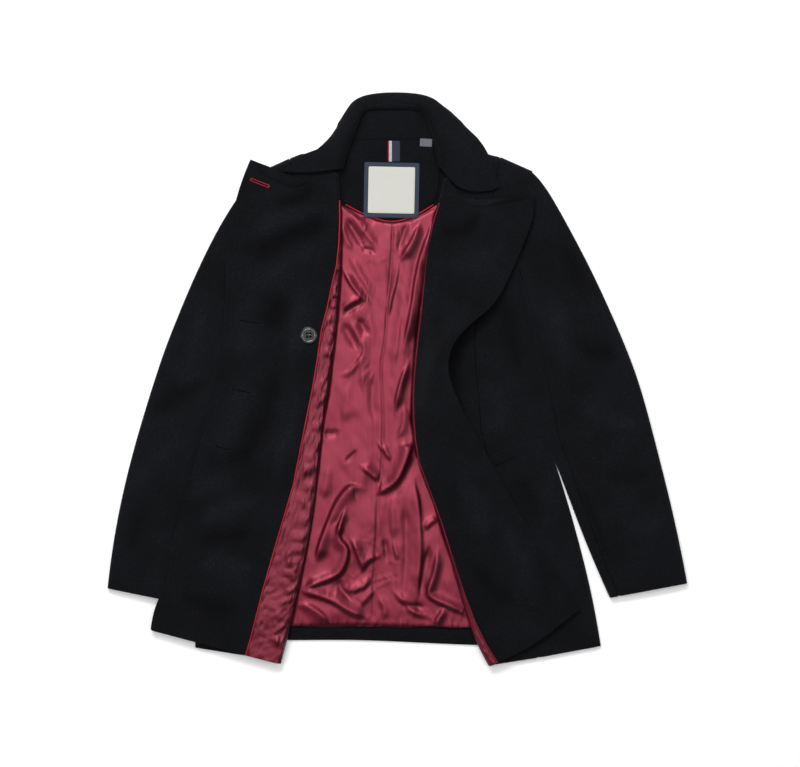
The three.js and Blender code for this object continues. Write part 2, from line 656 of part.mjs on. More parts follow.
// The back lining lies between the two folds and runs a little way under each front.
function liningSurface() {
  const lowered = (row) => ({ x: row.x, y: row.y - 2 * PIPING_ROOM - SEAM });
  const top = planCurve(PIPED_CURVE.map(lowered));
  const side = (part, inward, start) => (v) => {
    const p = part.fold(mix(start, 1, v * 0.93));
    p.x += inward * LINING_UNDER * smooth(v * 9);
    p.y = mix(top(0).y, LINING_HEM_Y, v);
    return p;
  };
  const rightSide = side(right, -1, 1.05 / right.last);
  const leftSide = side(left, 1, 1 / left.last);
  const bottom = (u) => new THREE.Vector3(mix(rightSide(1).x, leftSide(1).x, u),
    LINING_HEM_Y + 1.1 * Math.sin(19 * u) - 0.8 * Math.sin(31 * u + 1), 0);
  const height = (x, y, u, v) => {
    const width = leftSide(v).x - rightSide(v).x;
    const fromSide = Math.min(u, 1 - u) * width - LINING_UNDER;
    const mask = smooth((fromSide - 2) / FOLD_CLEAR) * smooth(v * 24 - 0.2);
    return LINING_Z + Math.max(0, foldHeight(LINING_FOLDS, x, y)) * mask;
  };
  return patch(top, bottom, rightSide, leftSide, height);
}

// The inside of the neck rises towards the collar seam.
const neckRise = (y) => NECK_RISE * smooth((y - 270) / 62);
const neckFacing = patch(planCurve(NECK_SEAM), planCurve(PIPED_CURVE), planCurve(NECK_SIDE_RIGHT),
  planCurve(NECK_SIDE_LEFT), (x, y) => WOOL + SEAM + FACING_WOOL / 2 + neckRise(y));
const standBottom = NECK_SEAM.map((row) => ({ x: row.x, y: row.y + STAND_GAP }));
const stand = patch(planCurve(STAND_TOP), planCurve(standBottom),
  (v) => new THREE.Vector3(mix(-44, -60, v), mix(376, 335 + STAND_GAP, v), 0),
  (v) => new THREE.Vector3(mix(31, 52, v), mix(376, 335 + STAND_GAP, v), 0),
  (x, y) => 5.8 + 3.6 * smooth((y - 337) / 42));

function hemBand() {
  const bottom = planCurve(table(point, [[-175, -363.5], [-50, -363.5], [114, -370.5],
    [142, -371]]));
  return patch((u) => new THREE.Vector3(mix(-170, 138, u), HEM_BAND_TOP - 2.4 * u, 0), bottom,
    (v) => new THREE.Vector3(mix(-170, -175, v), mix(HEM_BAND_TOP, -363.5, v), 0),
    (v) => new THREE.Vector3(mix(138, 142, v), mix(HEM_BAND_TOP - 2.4, -371, v), 0),
    () => HEM_BAND_Z);
}

// A flat rectangle laid on the neck facing, from its points, turned in plan.
function laidOn(x, y, width, height, turn, above, thick, columns, rows) {
  const at = (u, v) => {
    const a = (u - 0.5) * width;
    const b = (0.5 - v) * height;
    const [cos, sin] = [Math.cos(turn), Math.sin(turn)];
    return [x + a * cos - b * sin, y + a * sin + b * cos];
  };
  const surface = surfaceOf((u, v) => {
    const [px, py] = at(u, v);
    const z = WOOL + SEAM + FACING_WOOL + neckRise(py) + above;
    return new THREE.Vector3(px, py, z);
  }, -1);
  return wall(surface, steps(0, 1, columns), steps(0, 1, rows), 0, thick);
}

// Points evenly round a circle.
const circle = (x, y, radius, count) => Array.from({ length: count }, (_, k) => {
  const turn = (2 * Math.PI * k) / count;
  return new THREE.Vector2(x + radius * Math.cos(turn), y + radius * Math.sin(turn));
});

// A button with a rounded edge, its back at z = 0, with four holes or none.
function buttonGeometry(sides, holes, bevelSegments) {
  const bevel = 0.9;
  const disc = new THREE.Shape(circle(0, 0, BUTTON_RADIUS - bevel, sides));
  for (let k = 0; k < holes; k += 1) {
    const turn = Math.PI / 4 + (2 * Math.PI * k) / holes;
    const reach = HOLE_SPREAD * Math.SQRT2;
    const ring = circle(reach * Math.cos(turn), reach * Math.sin(turn), HOLE_RADIUS + bevel, 8);
    disc.holes.push(new THREE.Path(ring.reverse()));
  }
  const geometry = new THREE.ExtrudeGeometry(disc, {
    depth: BUTTON_THICK - 2 * bevel,
    curveSegments: 1,
    bevelEnabled: true,
    bevelThickness: bevel,
    bevelSize: bevel,
    bevelSegments,
  });
  geometry.translate(0, 0, bevel);
  return geometry;
}

const group = new THREE.Group();

function add(name, geometry, colour) {
  const mesh = new THREE.Mesh(geometry, new THREE.MeshStandardMaterial(COLOURS[colour]));
  mesh.name = name;
  group.add(mesh);
  return mesh;
}

// Sets a button on a surface, its back against the cloth.
function addButton(name, geometry, surface, u, v, distance) {
  const mesh = add(name, geometry, 'button');
  const normal = normalOf(surface, u, v).multiplyScalar(Math.sign(distance));
  mesh.position.copy(shifted(surface, u, v, distance));
  mesh.quaternion.setFromUnitVectors(new THREE.Vector3(0, 0, 1), normal);
  return mesh;
}

// The u, v of the flap point that lies over a plan point.
function findOnFlap(part, x, y) {
  let best = { u: 1, v: 0, far: Infinity };
  for (const v of steps(0, 1, 400)) {
    for (const u of steps(1.05, 2, 60)) {
      const p = part.front.at(u, v);
      const far = Math.hypot(p.x - x, p.y - y);
      if (far < best.far) best = { u, v, far };
    }
  }
  return best;
}

function addBody() {
  const back = backSurface();
  add('back', wall(back, steps(0, 1, 14), steps(0, 1, 16), -WOOL / 2, WOOL / 2), 'wool');
  add('back_lining', wall(liningSurface(), steps(0, 1, 18), steps(0, 1, 26), -SATIN / 2, SATIN / 2),
    'satin');
  add('back_hem_band', wall(hemBand(), steps(0, 1, 8), [0, 1], -HEM_TURN / 2, HEM_TURN / 2),
    'facing');
  add('neck_facing', wall(neckFacing, steps(0, 1, 10), steps(0, 1, 6), -FACING_WOOL / 2,
    FACING_WOOL / 2), 'facing');
}

function addFronts() {
  for (const [name, part] of [['left', left], ['right', right]]) {
    add(`side_front_${name}`, sidePanelWall(part), 'wool');
    add(`front_${name}`, frontWall(part), 'wool');
    add(`facing_${name}`, facingWall(part), 'facing');
    add(`front_lining_${name}`, frontLiningWall(part), 'satin');
    add(`piping_${name}`, pipingCord(part), 'piping');
    add(`pocket_welt_${name}`, weltWall(part), 'wool');
  }
}

// A pocket welt on the outside of a front's lower layer, under the turned flap.
function weltWall(part) {
  const v = WELT.section;
  const half = WELT.width / 2 / FRONT_LENGTH;
  const surface = surfaceOf((t, w) => part.front.at(-mix(WELT.from, WELT.to, t),
    v + mix(-half, half, w)), part.outward);
  const lift = WOOL / 2 + SEAM;
  return wall(surface, steps(0.02, 0.98, 6), [0, 1], -lift - WELT.thick, -lift);
}

function addSleeves() {
  for (const [name, sleeve] of [['left', leftSleeve], ['right', rightSleeve]]) {
    add(`top_sleeve_${name}`, topSleeveWall(sleeve), 'wool');
    add(`under_sleeve_${name}`, underSleeveWall(sleeve), 'wool');
  }
}

function addCollar() {
  const half = COLLAR_WOOL / 2;
  add('upper_collar', collarWall(COLLAR_COLUMNS, -half, half), 'wool');
  add('under_collar', collarWall(UNDER_COLUMNS, -half - COLLAR_LAYER, half - COLLAR_LAYER), 'wool');
  add('collar_stand', wall(stand, steps(0, 1, 8), steps(0, 1, 3), -half, half), 'wool');
}

function addTrim() {
  const centre = planCurve(PIPED_CURVE.map((row) => ({ x: row.x, y: row.y - PIPING_ROOM })));
  const lifted = steps(0.02, 0.98, 14).map((t) => centre(t).setZ(WOOL + SEAM + PIPING_RADIUS));
  add('piping_neck', cord(lifted, PIPING_RADIUS), 'piping');
  const { x, y, width, height, turn, frame, thick } = LABEL;
  add('label_frame', laidOn(x, y, width, height, turn, SEAM, thick, 4, 5), 'labelFrame');
  const border = 2 * frame;
  add('label', laidOn(x, y, width - border, height - border, turn, 2 * SEAM + thick, thick, 4, 5),
    'label');
  add('hanger_loop', laidOn(LOOP.x, (LOOP.top + LOOP.bottom) / 2 + thick, LOOP.width,
    LOOP.top - LOOP.bottom - 2 * thick, 0, SEAM, TAPE, 2, 4), 'tape');
  add('size_label', laidOn(SIZE_LABEL.x, SIZE_LABEL.y, SIZE_LABEL.width, SIZE_LABEL.height, -0.06,
    SEAM, thick, 2, 2), 'tape');
}

function addButtons() {
  const spot = findOnFlap(right, INNER_BUTTON.x, INNER_BUTTON.y);
  const above = ON_FRONT + FACING_WOOL + SEAM;
  addButton('inner_button', buttonGeometry(28, 4, 2), right.front, spot.u, spot.v, above);
  HIDDEN_BUTTONS.forEach((row, k) => {
    addButton(`front_button_${k + 1}`, buttonGeometry(16, 0, 1), left.front, 1 + row.at,
      row.section, -WOOL / 2 - SEAM - row.drop);
  });
}

addBody();
addFronts();
addSleeves();
addCollar();
addTrim();
addButtons();

export default group;
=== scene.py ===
"""A wool pea coat laid open on its back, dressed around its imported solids.

Every panel of cloth starts from its own solid: the wall is welded, subdivided, laid in the folds
that the cloth has, and given its finish. Seams, buttonholes and threads are sewn on top.
Lengths are in metres. Plan places are given in the photograph's pixels and go through on_plan().
"""

from __future__ import annotations

import json
import logging
import math
from dataclasses import dataclass, replace
from enum import Enum

import bmesh
import bpy
import numpy as np
from mathutils import Matrix, Vector
from mathutils.bvhtree import BVHTree

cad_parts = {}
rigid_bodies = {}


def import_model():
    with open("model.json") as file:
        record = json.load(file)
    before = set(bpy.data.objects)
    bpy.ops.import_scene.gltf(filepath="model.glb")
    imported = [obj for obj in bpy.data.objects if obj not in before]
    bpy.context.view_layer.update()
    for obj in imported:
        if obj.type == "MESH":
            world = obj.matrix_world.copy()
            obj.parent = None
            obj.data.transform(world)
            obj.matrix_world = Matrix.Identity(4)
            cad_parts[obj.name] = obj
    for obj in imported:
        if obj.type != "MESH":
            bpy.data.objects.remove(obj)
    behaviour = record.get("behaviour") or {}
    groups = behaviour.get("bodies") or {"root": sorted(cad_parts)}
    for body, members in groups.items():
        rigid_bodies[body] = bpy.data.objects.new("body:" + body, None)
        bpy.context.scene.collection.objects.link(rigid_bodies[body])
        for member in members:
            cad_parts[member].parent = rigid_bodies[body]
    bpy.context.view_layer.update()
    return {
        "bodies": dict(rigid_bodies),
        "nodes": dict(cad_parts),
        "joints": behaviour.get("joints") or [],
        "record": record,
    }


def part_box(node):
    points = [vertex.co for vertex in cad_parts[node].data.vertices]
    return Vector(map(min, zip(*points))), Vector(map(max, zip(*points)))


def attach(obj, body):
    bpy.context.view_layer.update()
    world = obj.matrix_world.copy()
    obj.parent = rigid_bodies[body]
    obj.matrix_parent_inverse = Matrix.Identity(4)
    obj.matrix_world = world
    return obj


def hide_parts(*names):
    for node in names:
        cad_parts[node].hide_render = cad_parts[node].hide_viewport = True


LOG = logging.getLogger("pea_coat")

# A place in the photograph, in pixels, and a line through such places
Place = tuple[float, float]
Path = tuple[Place, ...]

MM = 0.001
SEED = 7
FAR = 1e9

# The photograph and the camera above it
METRES_PER_PIXEL = 0.0014
PLAN_CENTRE = (397.0, 380.0)
IMAGE_CENTRE = (400.0, 383.5)
IMAGE_WIDTH = 800.0
CAMERA_HEIGHT = 3.2
SENSOR_WIDTH = 36.0

# How a solid's wall is made ready
WELD = 1e-6
FLAT_ANGLE = math.radians(60)
SHAPE_ANGLE = math.radians(70)
EDGE_ANGLE = math.radians(50)
SHARP_LEVELS = 10.0

# The section of a fold, and how it runs out at its ends
FOLD_STEP = 0.007
FOLD_MARGIN = 4.5
FOLD_STEEPNESS = 1.4
LEAN_SHARE = 0.72
END_WIDTH = 0.45
END_HEIGHT = 0.12

# Slow waves and thin ridges in the cloth
WAVES = 9
WAVE_SPREAD = (0.7, 1.6)
BEND_WAVES = (3.1, 2.7)
BEND_REACH = 0.8
RIDGE_WAVE = 1.8
RIDGE_WIDTH = 0.28
CRUMPLE_WAVE = 0.013
CRUMPLE_SHARE = 0.75
CRUMPLE_STRETCH = 1.5
CRUMPLE_SEED = 40

# Heights above the ground where a layer starts to follow its folds, and how fast
LOWER_FOOT = 0.0045
LOWER_GIVE = 0.004
FLAP_FOOT = 0.0105
FLAP_GIVE = 0.003
UNDER_SHARE = 0.5
# Below NECK_TOP the collar's folds sink only NECK_LEAST of their depth, but their painted shade keeps the
# full depth
NECK_TOP = 0.0066
NECK_GIVE = 0.005
NECK_LEAST = 0.05

# The satin: its rise in the middle, its gathered hem, its deepest trough, and the painted shade on its folds'
# sides turned from the light; last, the rise at which the wool's painted light and shade are full
LINING_PUFF = 0.0028
PUFF_EDGE = 5.0
CREASE_EDGE = 3.0
GATHERED_HEM = 626
GATHER_REACH = 0.013
SATIN_FLOOR = -0.0002
SATIN_FLAT = 0.07
SATIN_STEEP = 0.36
SHADE_SIDE = (0.6, -0.8)
SHADE_EVEN = 0.25
LEAST_UPRIGHT = 0.05
CREST_HEIGHT = 0.0032

# Pressed edges: a fold a metre high gives weights up to 1
PRESS_HEIGHT = 1000.0
PRESS_TAPER = 0.12

# Needlework
HIGH = 0.2
ROW_STEP = 0.002
EDGE_STEP = 0.006
EDGE_LEAST = 8
EDGE_REACH = 0.0035
EDGE_ROUNDS = 3
STITCH_SINK = 0.2
STITCH_LEAST = (0.82, 0.86, 0.86)
STITCH_MOST = (1.1, 1.12, 1.12)
HOLE_TURNS = 7
SLIT_RUN = (0.04, 0.96)
SLIT_STEPS = 12
SLIT_HALF_WIDTH = 0.0005
SLIT_HALF_DEPTH = 0.00025

# The inner button's ring and thread
BUTTON_STEPS = 48
BUTTON_RING = 0.0086
BUTTON_BEAD = 0.0011
BEAD_STEPS = 12
BEAD_FLATNESS = 0.7
THREAD_SIZE = (0.0062, 0.0009, 0.0011)
THREAD_SINK = -0.0004


class Slot(Enum):
    """The record's material slots."""

    WOOL = "wool"
    FACING = "facing_wool"
    LINING = "lining"
    PIPING = "piping"
    TAPE = "tape"
    LABEL = "label"
    LABEL_FRAME = "label_frame"
    BUTTON = "button"


class Held(Enum):
    LAID = "laid"
    FOLDED = "folded"


def on_plan(px: float, py: float) -> tuple[float, float]:
    """Turns a place in the photograph into plan coordinates.

    Args:
        px: Pixels from the left edge.
        py: Pixels from the top edge.

    Returns:
        X and Y in metres.
    """
    return (
        (px - PLAN_CENTRE[0]) * METRES_PER_PIXEL,
        (PLAN_CENTRE[1] - py) * METRES_PER_PIXEL,
    )


def smooth_path(places: Path, step: float) -> np.ndarray:
    """Runs a smooth line through places in the photograph.

    Args:
        places: The places, in pixels.
        step: Distance between the points that it gives, in metres.

    Returns:
        Plan points, shape (n, 2).
    """
    knots = np.array([on_plan(*place) for place in places])
    ends = np.vstack([2 * knots[0] - knots[1], knots, 2 * knots[-1] - knots[-2]])
    line = []
    for one, two, three, four in zip(ends, ends[1:], ends[2:], ends[3:]):
        count = max(2, math.ceil(np.linalg.norm(three - two) / step))
        for t in np.arange(count) / count:
            line.append(
                0.5 * (2 * two + (three - one) * t + (2 * one - 5 * two + 4 * three - four) * t**2
                       + (3 * two - one - 3 * three + four) * t**3)
            )
    return np.array(line + [knots[-1]])


def ramp(values: np.ndarray, start: float, width: float) -> np.ndarray:
    """Rises straight from 0 at a start to 1 a width further on."""
    return np.clip((values - start) / width, 0.0, 1.0)


def eased(share: np.ndarray) -> np.ndarray:
    """Gives a straight rise from 0 to 1 soft ends."""
    return share * share * (3 - 2 * share)


@dataclass(frozen=True)
class Crease:
    """One fold line in a cloth, drawn on the plan.

    Attributes:
        path: Places along the fold, in pixels.
        width: Half width of the fold in millimetres.
        height: Height in millimetres, negative for a trough.
        lean: From -1 to 1; above 0 the right of the path falls away steeply, below 0 the left.
        taper: Share of the length over which each end runs out.
    """

    path: Path
    width: float
    height: float
    lean: float = 0.0
    taper: float = 0.3

    def lift(self, xy: np.ndarray) -> np.ndarray:
        """Gives the height that this fold adds at plan points.

        Args:
            xy: Points as an array of shape (n, 2), in metres.

        Returns:
            Heights in metres.
        """
        points = smooth_path(self.path, FOLD_STEP)
        lengths = np.linalg.norm(np.diff(points, axis=0), axis=1)
        starts = np.concatenate([[0.0], np.cumsum(lengths)])
        margin = FOLD_MARGIN * self.width * MM
        boxed = np.all((xy > points.min(axis=0) - margin) & (xy < points.max(axis=0) + margin), axis=1)
        lifted = np.zeros(len(xy))
        xy = xy[boxed]
        best = np.full(len(xy), FAR)
        side = np.zeros(len(xy))
        along = np.zeros(len(xy))
        for k, length in enumerate(lengths):
            step = (points[k + 1] - points[k]) / length
            rel = xy - points[k]
            t = np.clip(rel @ step, 0.0, length)
            far = np.linalg.norm(rel - t[:, None] * step, axis=1)
            near = far < best
            best = np.where(near, far, best)
            side = np.where(near, np.sign(rel[:, 0] * step[1] - rel[:, 1] * step[0]), side)
            along = np.where(near, starts[k] + t, along)
        total = starts[-1]
        ease = eased(ramp(np.minimum(along, total - along), 0.0, self.taper * total))
        width = self.width * MM * (END_WIDTH + (1 - END_WIDTH) * ease) * (1.0 - LEAN_SHARE * self.lean * side)
        profile = np.exp(-((best / width) ** 2) * FOLD_STEEPNESS)
        lifted[boxed] = self.height * MM * profile * (END_HEIGHT + (1 - END_HEIGHT) * ease)
        return lifted


def ripples(xy: np.ndarray, wave: float, height: float, seed: int, stretch: float = 1.0) -> np.ndarray:
    """Sums a few slow waves, the way cloth never lies quite flat.

    Args:
        xy: Points in metres, shape (n, 2).
        wave: Typical wavelength in metres.
        height: Height of the sum in metres.
        seed: Seed of the waves.
        stretch: How much longer the waves are along Y than along X.

    Returns:
        Heights in metres, from about -height to height.
    """
    random = np.random.default_rng(seed)
    total = np.zeros(len(xy))
    for _ in range(WAVES):
        turn = random.uniform(0, 2 * math.pi)
        number = 2 * math.pi / (wave * random.uniform(*WAVE_SPREAD))
        phase = random.uniform(0, 2 * math.pi)
        across = xy[:, 0] * math.cos(turn) + xy[:, 1] * math.sin(turn) / stretch
        total += np.sin(number * across + phase)
    return height * total / math.sqrt(WAVES)


def ridges(xy: np.ndarray, wave: float, height: float, seed: int, stretch: float) -> np.ndarray:
    """Gives thin rounded ridges between flat hollows, as in crumpled satin.

    Args:
        xy: Points in metres, shape (n, 2).
        wave: Typical spacing in metres.
        height: Height of a ridge in metres.
        seed: Seed of the pattern.
        stretch: How much longer the ridges run along Y than along X.

    Returns:
        Heights in metres, from 0 to height.
    """
    bends = [ripples(xy, wave * bow, wave * BEND_REACH, seed + 1 + k) for k, bow in enumerate(BEND_WAVES)]
    bend = np.stack(bends, axis=1)
    across = ripples(xy + bend, wave * RIDGE_WAVE, 1.0, seed, stretch)
    return height * np.exp(-((across / RIDGE_WIDTH) ** 2))


def inside(xy: np.ndarray, outline: Path, soft: float) -> np.ndarray:
    """Gives 1 inside a closed outline and 0 outside, rising softly from its edge inwards.

    Args:
        xy: Points in metres, shape (n, 2).
        outline: Corners in pixels.
        soft: Width of the rise in pixels.

    Returns:
        Weights from 0 to 1.
    """
    corners = np.array([on_plan(*corner) for corner in outline])
    far = np.full(len(xy), FAR)
    within = np.zeros(len(xy), dtype=bool)
    for one, two in zip(corners, np.roll(corners, -1, axis=0)):
        step = two - one
        rel = xy - one
        t = np.clip(rel @ step / (step @ step), 0.0, 1.0)
        far = np.minimum(far, np.linalg.norm(rel - t[:, None] * step, axis=1))
        if step[1] != 0:
            crossing = one[0] + (xy[:, 1] - one[1]) * step[0] / step[1]
            spans = (xy[:, 1] >= one[1]) != (xy[:, 1] >= two[1])
            within ^= spans & (xy[:, 0] < crossing)
    return np.where(within, eased(ramp(far, 0.0, soft * METRES_PER_PIXEL)), 0.0)


@dataclass(frozen=True)
class Crumple:
    """A patch of small crushed creases.

    Attributes:
        place: Its middle, in pixels.
        reach: Half width and half height in pixels.
        height: Height of its creases in millimetres.
    """

    place: Place
    reach: tuple[float, float]
    height: float

    def lift(self, xy: np.ndarray, seed: int) -> np.ndarray:
        """Gives the height that this patch adds at plan points, in metres."""
        off = (xy - np.array(on_plan(*self.place))) / METRES_PER_PIXEL / np.array(self.reach)
        weight = np.exp(-np.sum(off * off, axis=1))
        return weight * ridges(xy, CRUMPLE_WAVE, CRUMPLE_SHARE * self.height * MM, seed, CRUMPLE_STRETCH)


# Folds of the turned fronts and their facings
WOOL_FOLDS: tuple[Crease, ...] = (
    Crease(((457, 194), (467, 197), (480, 198), (496, 195)), 4.8, -4.8, 0.3, 0.2),
    Crease(((456, 202), (469, 205), (483, 206), (500, 202)), 4.0, 2.4, -0.3, 0.3),
    Crease(((254, 264), (268, 250), (286, 240), (308, 231), (334, 222)), 15, -4.2, 0.0, 0.22),
    Crease(((244, 244), (272, 226), (300, 214), (326, 206)), 15, 2.6),
    Crease(((262, 286), (290, 264), (322, 248)), 16, 2.4),
    Crease(((268, 208), (290, 203), (306, 197), (316, 182)), 11, -2.6),
    Crease(((285, 290), (278, 312), (270, 335)), 17, -2.6),
    Crease(((306, 286), (298, 330), (290, 366)), 16, 3.2, 0.3),
    Crease(((254, 290), (246, 330), (240, 366)), 20, 2.4),
    Crease(((280, 365), (265, 420), (245, 460)), 17, -3.0),
    Crease(((248, 380), (236, 420), (222, 470)), 18, 2.6),
    Crease(((300, 390), (292, 430), (276, 478)), 16, 2.8),
    Crease(((205, 470), (228, 458), (262, 452)), 15, -2.4),
    Crease(((195, 525), (235, 508), (270, 495)), 15, 3.2),
    Crease(((188, 500), (215, 486), (246, 476)), 14, 1.8),
    Crease(((196, 560), (226, 566), (262, 570)), 17, 2.6),
    Crease(((190, 540), (220, 538), (262, 530)), 13, -2.6),
    Crease(((180, 596), (212, 604), (246, 612)), 17, -2.2),
    Crease(((438, 230), (450, 234), (468, 228), (484, 214)), 12, -3.0),
    Crease(((440, 262), (470, 268), (500, 250)), 18, 2.4),
    Crease(((436, 300), (440, 340), (436, 376)), 14, -1.8),
    Crease(((500, 520), (520, 560), (532, 600)), 16, 3.0),
    Crease(((470, 560), (495, 590), (520, 606)), 15, -2.4),
    Crease(((458, 470), (476, 510), (486, 548)), 16, 2.6),
    Crease(((520, 620), (536, 632), (552, 640)), 12, 1.8),
    Crease(((463, 199), (474, 196), (486, 194), (501, 196)), 3.6, -4.6, 0.0, 0.3),
    Crease(((458, 203), (482, 208), (506, 204), (529, 200)), 2.6, -1.7, 0.0, 0.12),
    Crease(((462, 201), (482, 203), (506, 199), (529, 196)), 2.4, 1.3, 0.0, 0.12),
    Crease(((287, 173), (296, 176), (305, 179)), 3.2, -4.2, 0.0, 0.3),
    Crease(((256, 170), (280, 184), (297, 188), (315, 182)), 2.6, -1.8, 0.0, 0.15),
    Crease(((306, 177), (322, 174), (336, 172)), 2.2, -1.3, 0.0, 0.15),
)
# Folds of the sleeves, the side panels and the fronts' lower layer
LOWER_FOLDS: tuple[Crease, ...] = (
    Crease(((521, 262), (521, 288), (527, 311), (531, 340), (538, 384), (545, 428)), 4.5, -2.4, 0.0, 0.08),
    Crease(((600, 300), (620, 340), (636, 380)), 18, 2.6),
    Crease(((560, 330), (590, 352), (628, 356)), 15, -2.4),
    Crease(((575, 400), (610, 420), (640, 426)), 15, 2.4),
    Crease(((560, 240), (574, 270), (580, 300)), 16, -2.0),
    Crease(((548, 290), (560, 330), (566, 380)), 14, 2.2),
    Crease(((600, 470), (626, 478), (650, 470)), 15, -2.2),
    Crease(((622, 520), (640, 528), (664, 522)), 15, 2.2),
    Crease(((579, 486), (596, 524), (608, 560)), 5, -1.8, 0.0, 0.15),
    Crease(((190, 330), (160, 352), (140, 372)), 18, 2.6),
    Crease(((215, 380), (180, 396), (150, 420)), 16, -2.3),
    Crease(((180, 440), (150, 470), (128, 500)), 17, 2.3),
    Crease(((150, 500), (138, 530), (130, 560)), 15, -2.0),
    Crease(((206, 300), (196, 350), (180, 400)), 14, 2.0),
    Crease(((520, 520), (540, 560), (552, 600)), 15, 2.2),
    Crease(((490, 380), (500, 410), (496, 440)), 15, 2.2),
    Crease(((505, 300), (512, 340), (520, 380)), 14, -2.0),
    Crease(((512, 470), (530, 500), (540, 530)), 13, -1.8),
    # The hollow under the curled front edge: a trough that the painted shade darkens further
    Crease(((492, 300), (476, 316), (462, 332), (455, 356), (455, 384), (460, 410)), 11, -4.0, 0.0, 0.2),
)
# Hollows beside the collar's roll, and its soft waves; low on the stand and the neck facing they hardly sink
# and are mostly painted shade
COLLAR_FOLDS: tuple[Crease, ...] = (
    Crease(((369, 104), (362, 122), (354, 139), (345, 160), (343, 182)), 8.0, -3.2, 0.0, 0.15),
    Crease(((415, 103), (425, 118), (432, 133), (439, 156), (441, 182)), 7.5, -3.2, 0.0, 0.15),
    Crease(((345, 176), (343, 198)), 3.5, -1.4),
    Crease(((448, 126), (462, 146), (478, 168)), 14, 1.2),
    Crease(((340, 120), (322, 142), (300, 158)), 14, 1.2),
)
# The part of the back lining that shows, and its centre seam
LINING_OUTLINE: Path = (
    (338, 200), (360, 216), (393, 221), (412, 218), (440, 203), (435, 228), (432, 252), (425, 295),
    (419, 338), (415, 396), (414, 420), (419, 452), (430, 484), (439, 506), (445, 532), (454, 556),
    (464, 588), (480, 632), (440, 630), (360, 627), (288, 629), (296, 588), (301, 560), (310, 508),
    (316, 465), (321, 420), (326, 396), (331, 350), (335, 317), (338, 272), (339, 238),
)
CENTRE_SEAM: Path = (
    (393, 223), (391, 267), (388, 300), (385, 338), (381, 367), (382, 395), (383, 420), (382, 460),
    (378, 500), (376, 548), (374, 580), (373, 622),
)
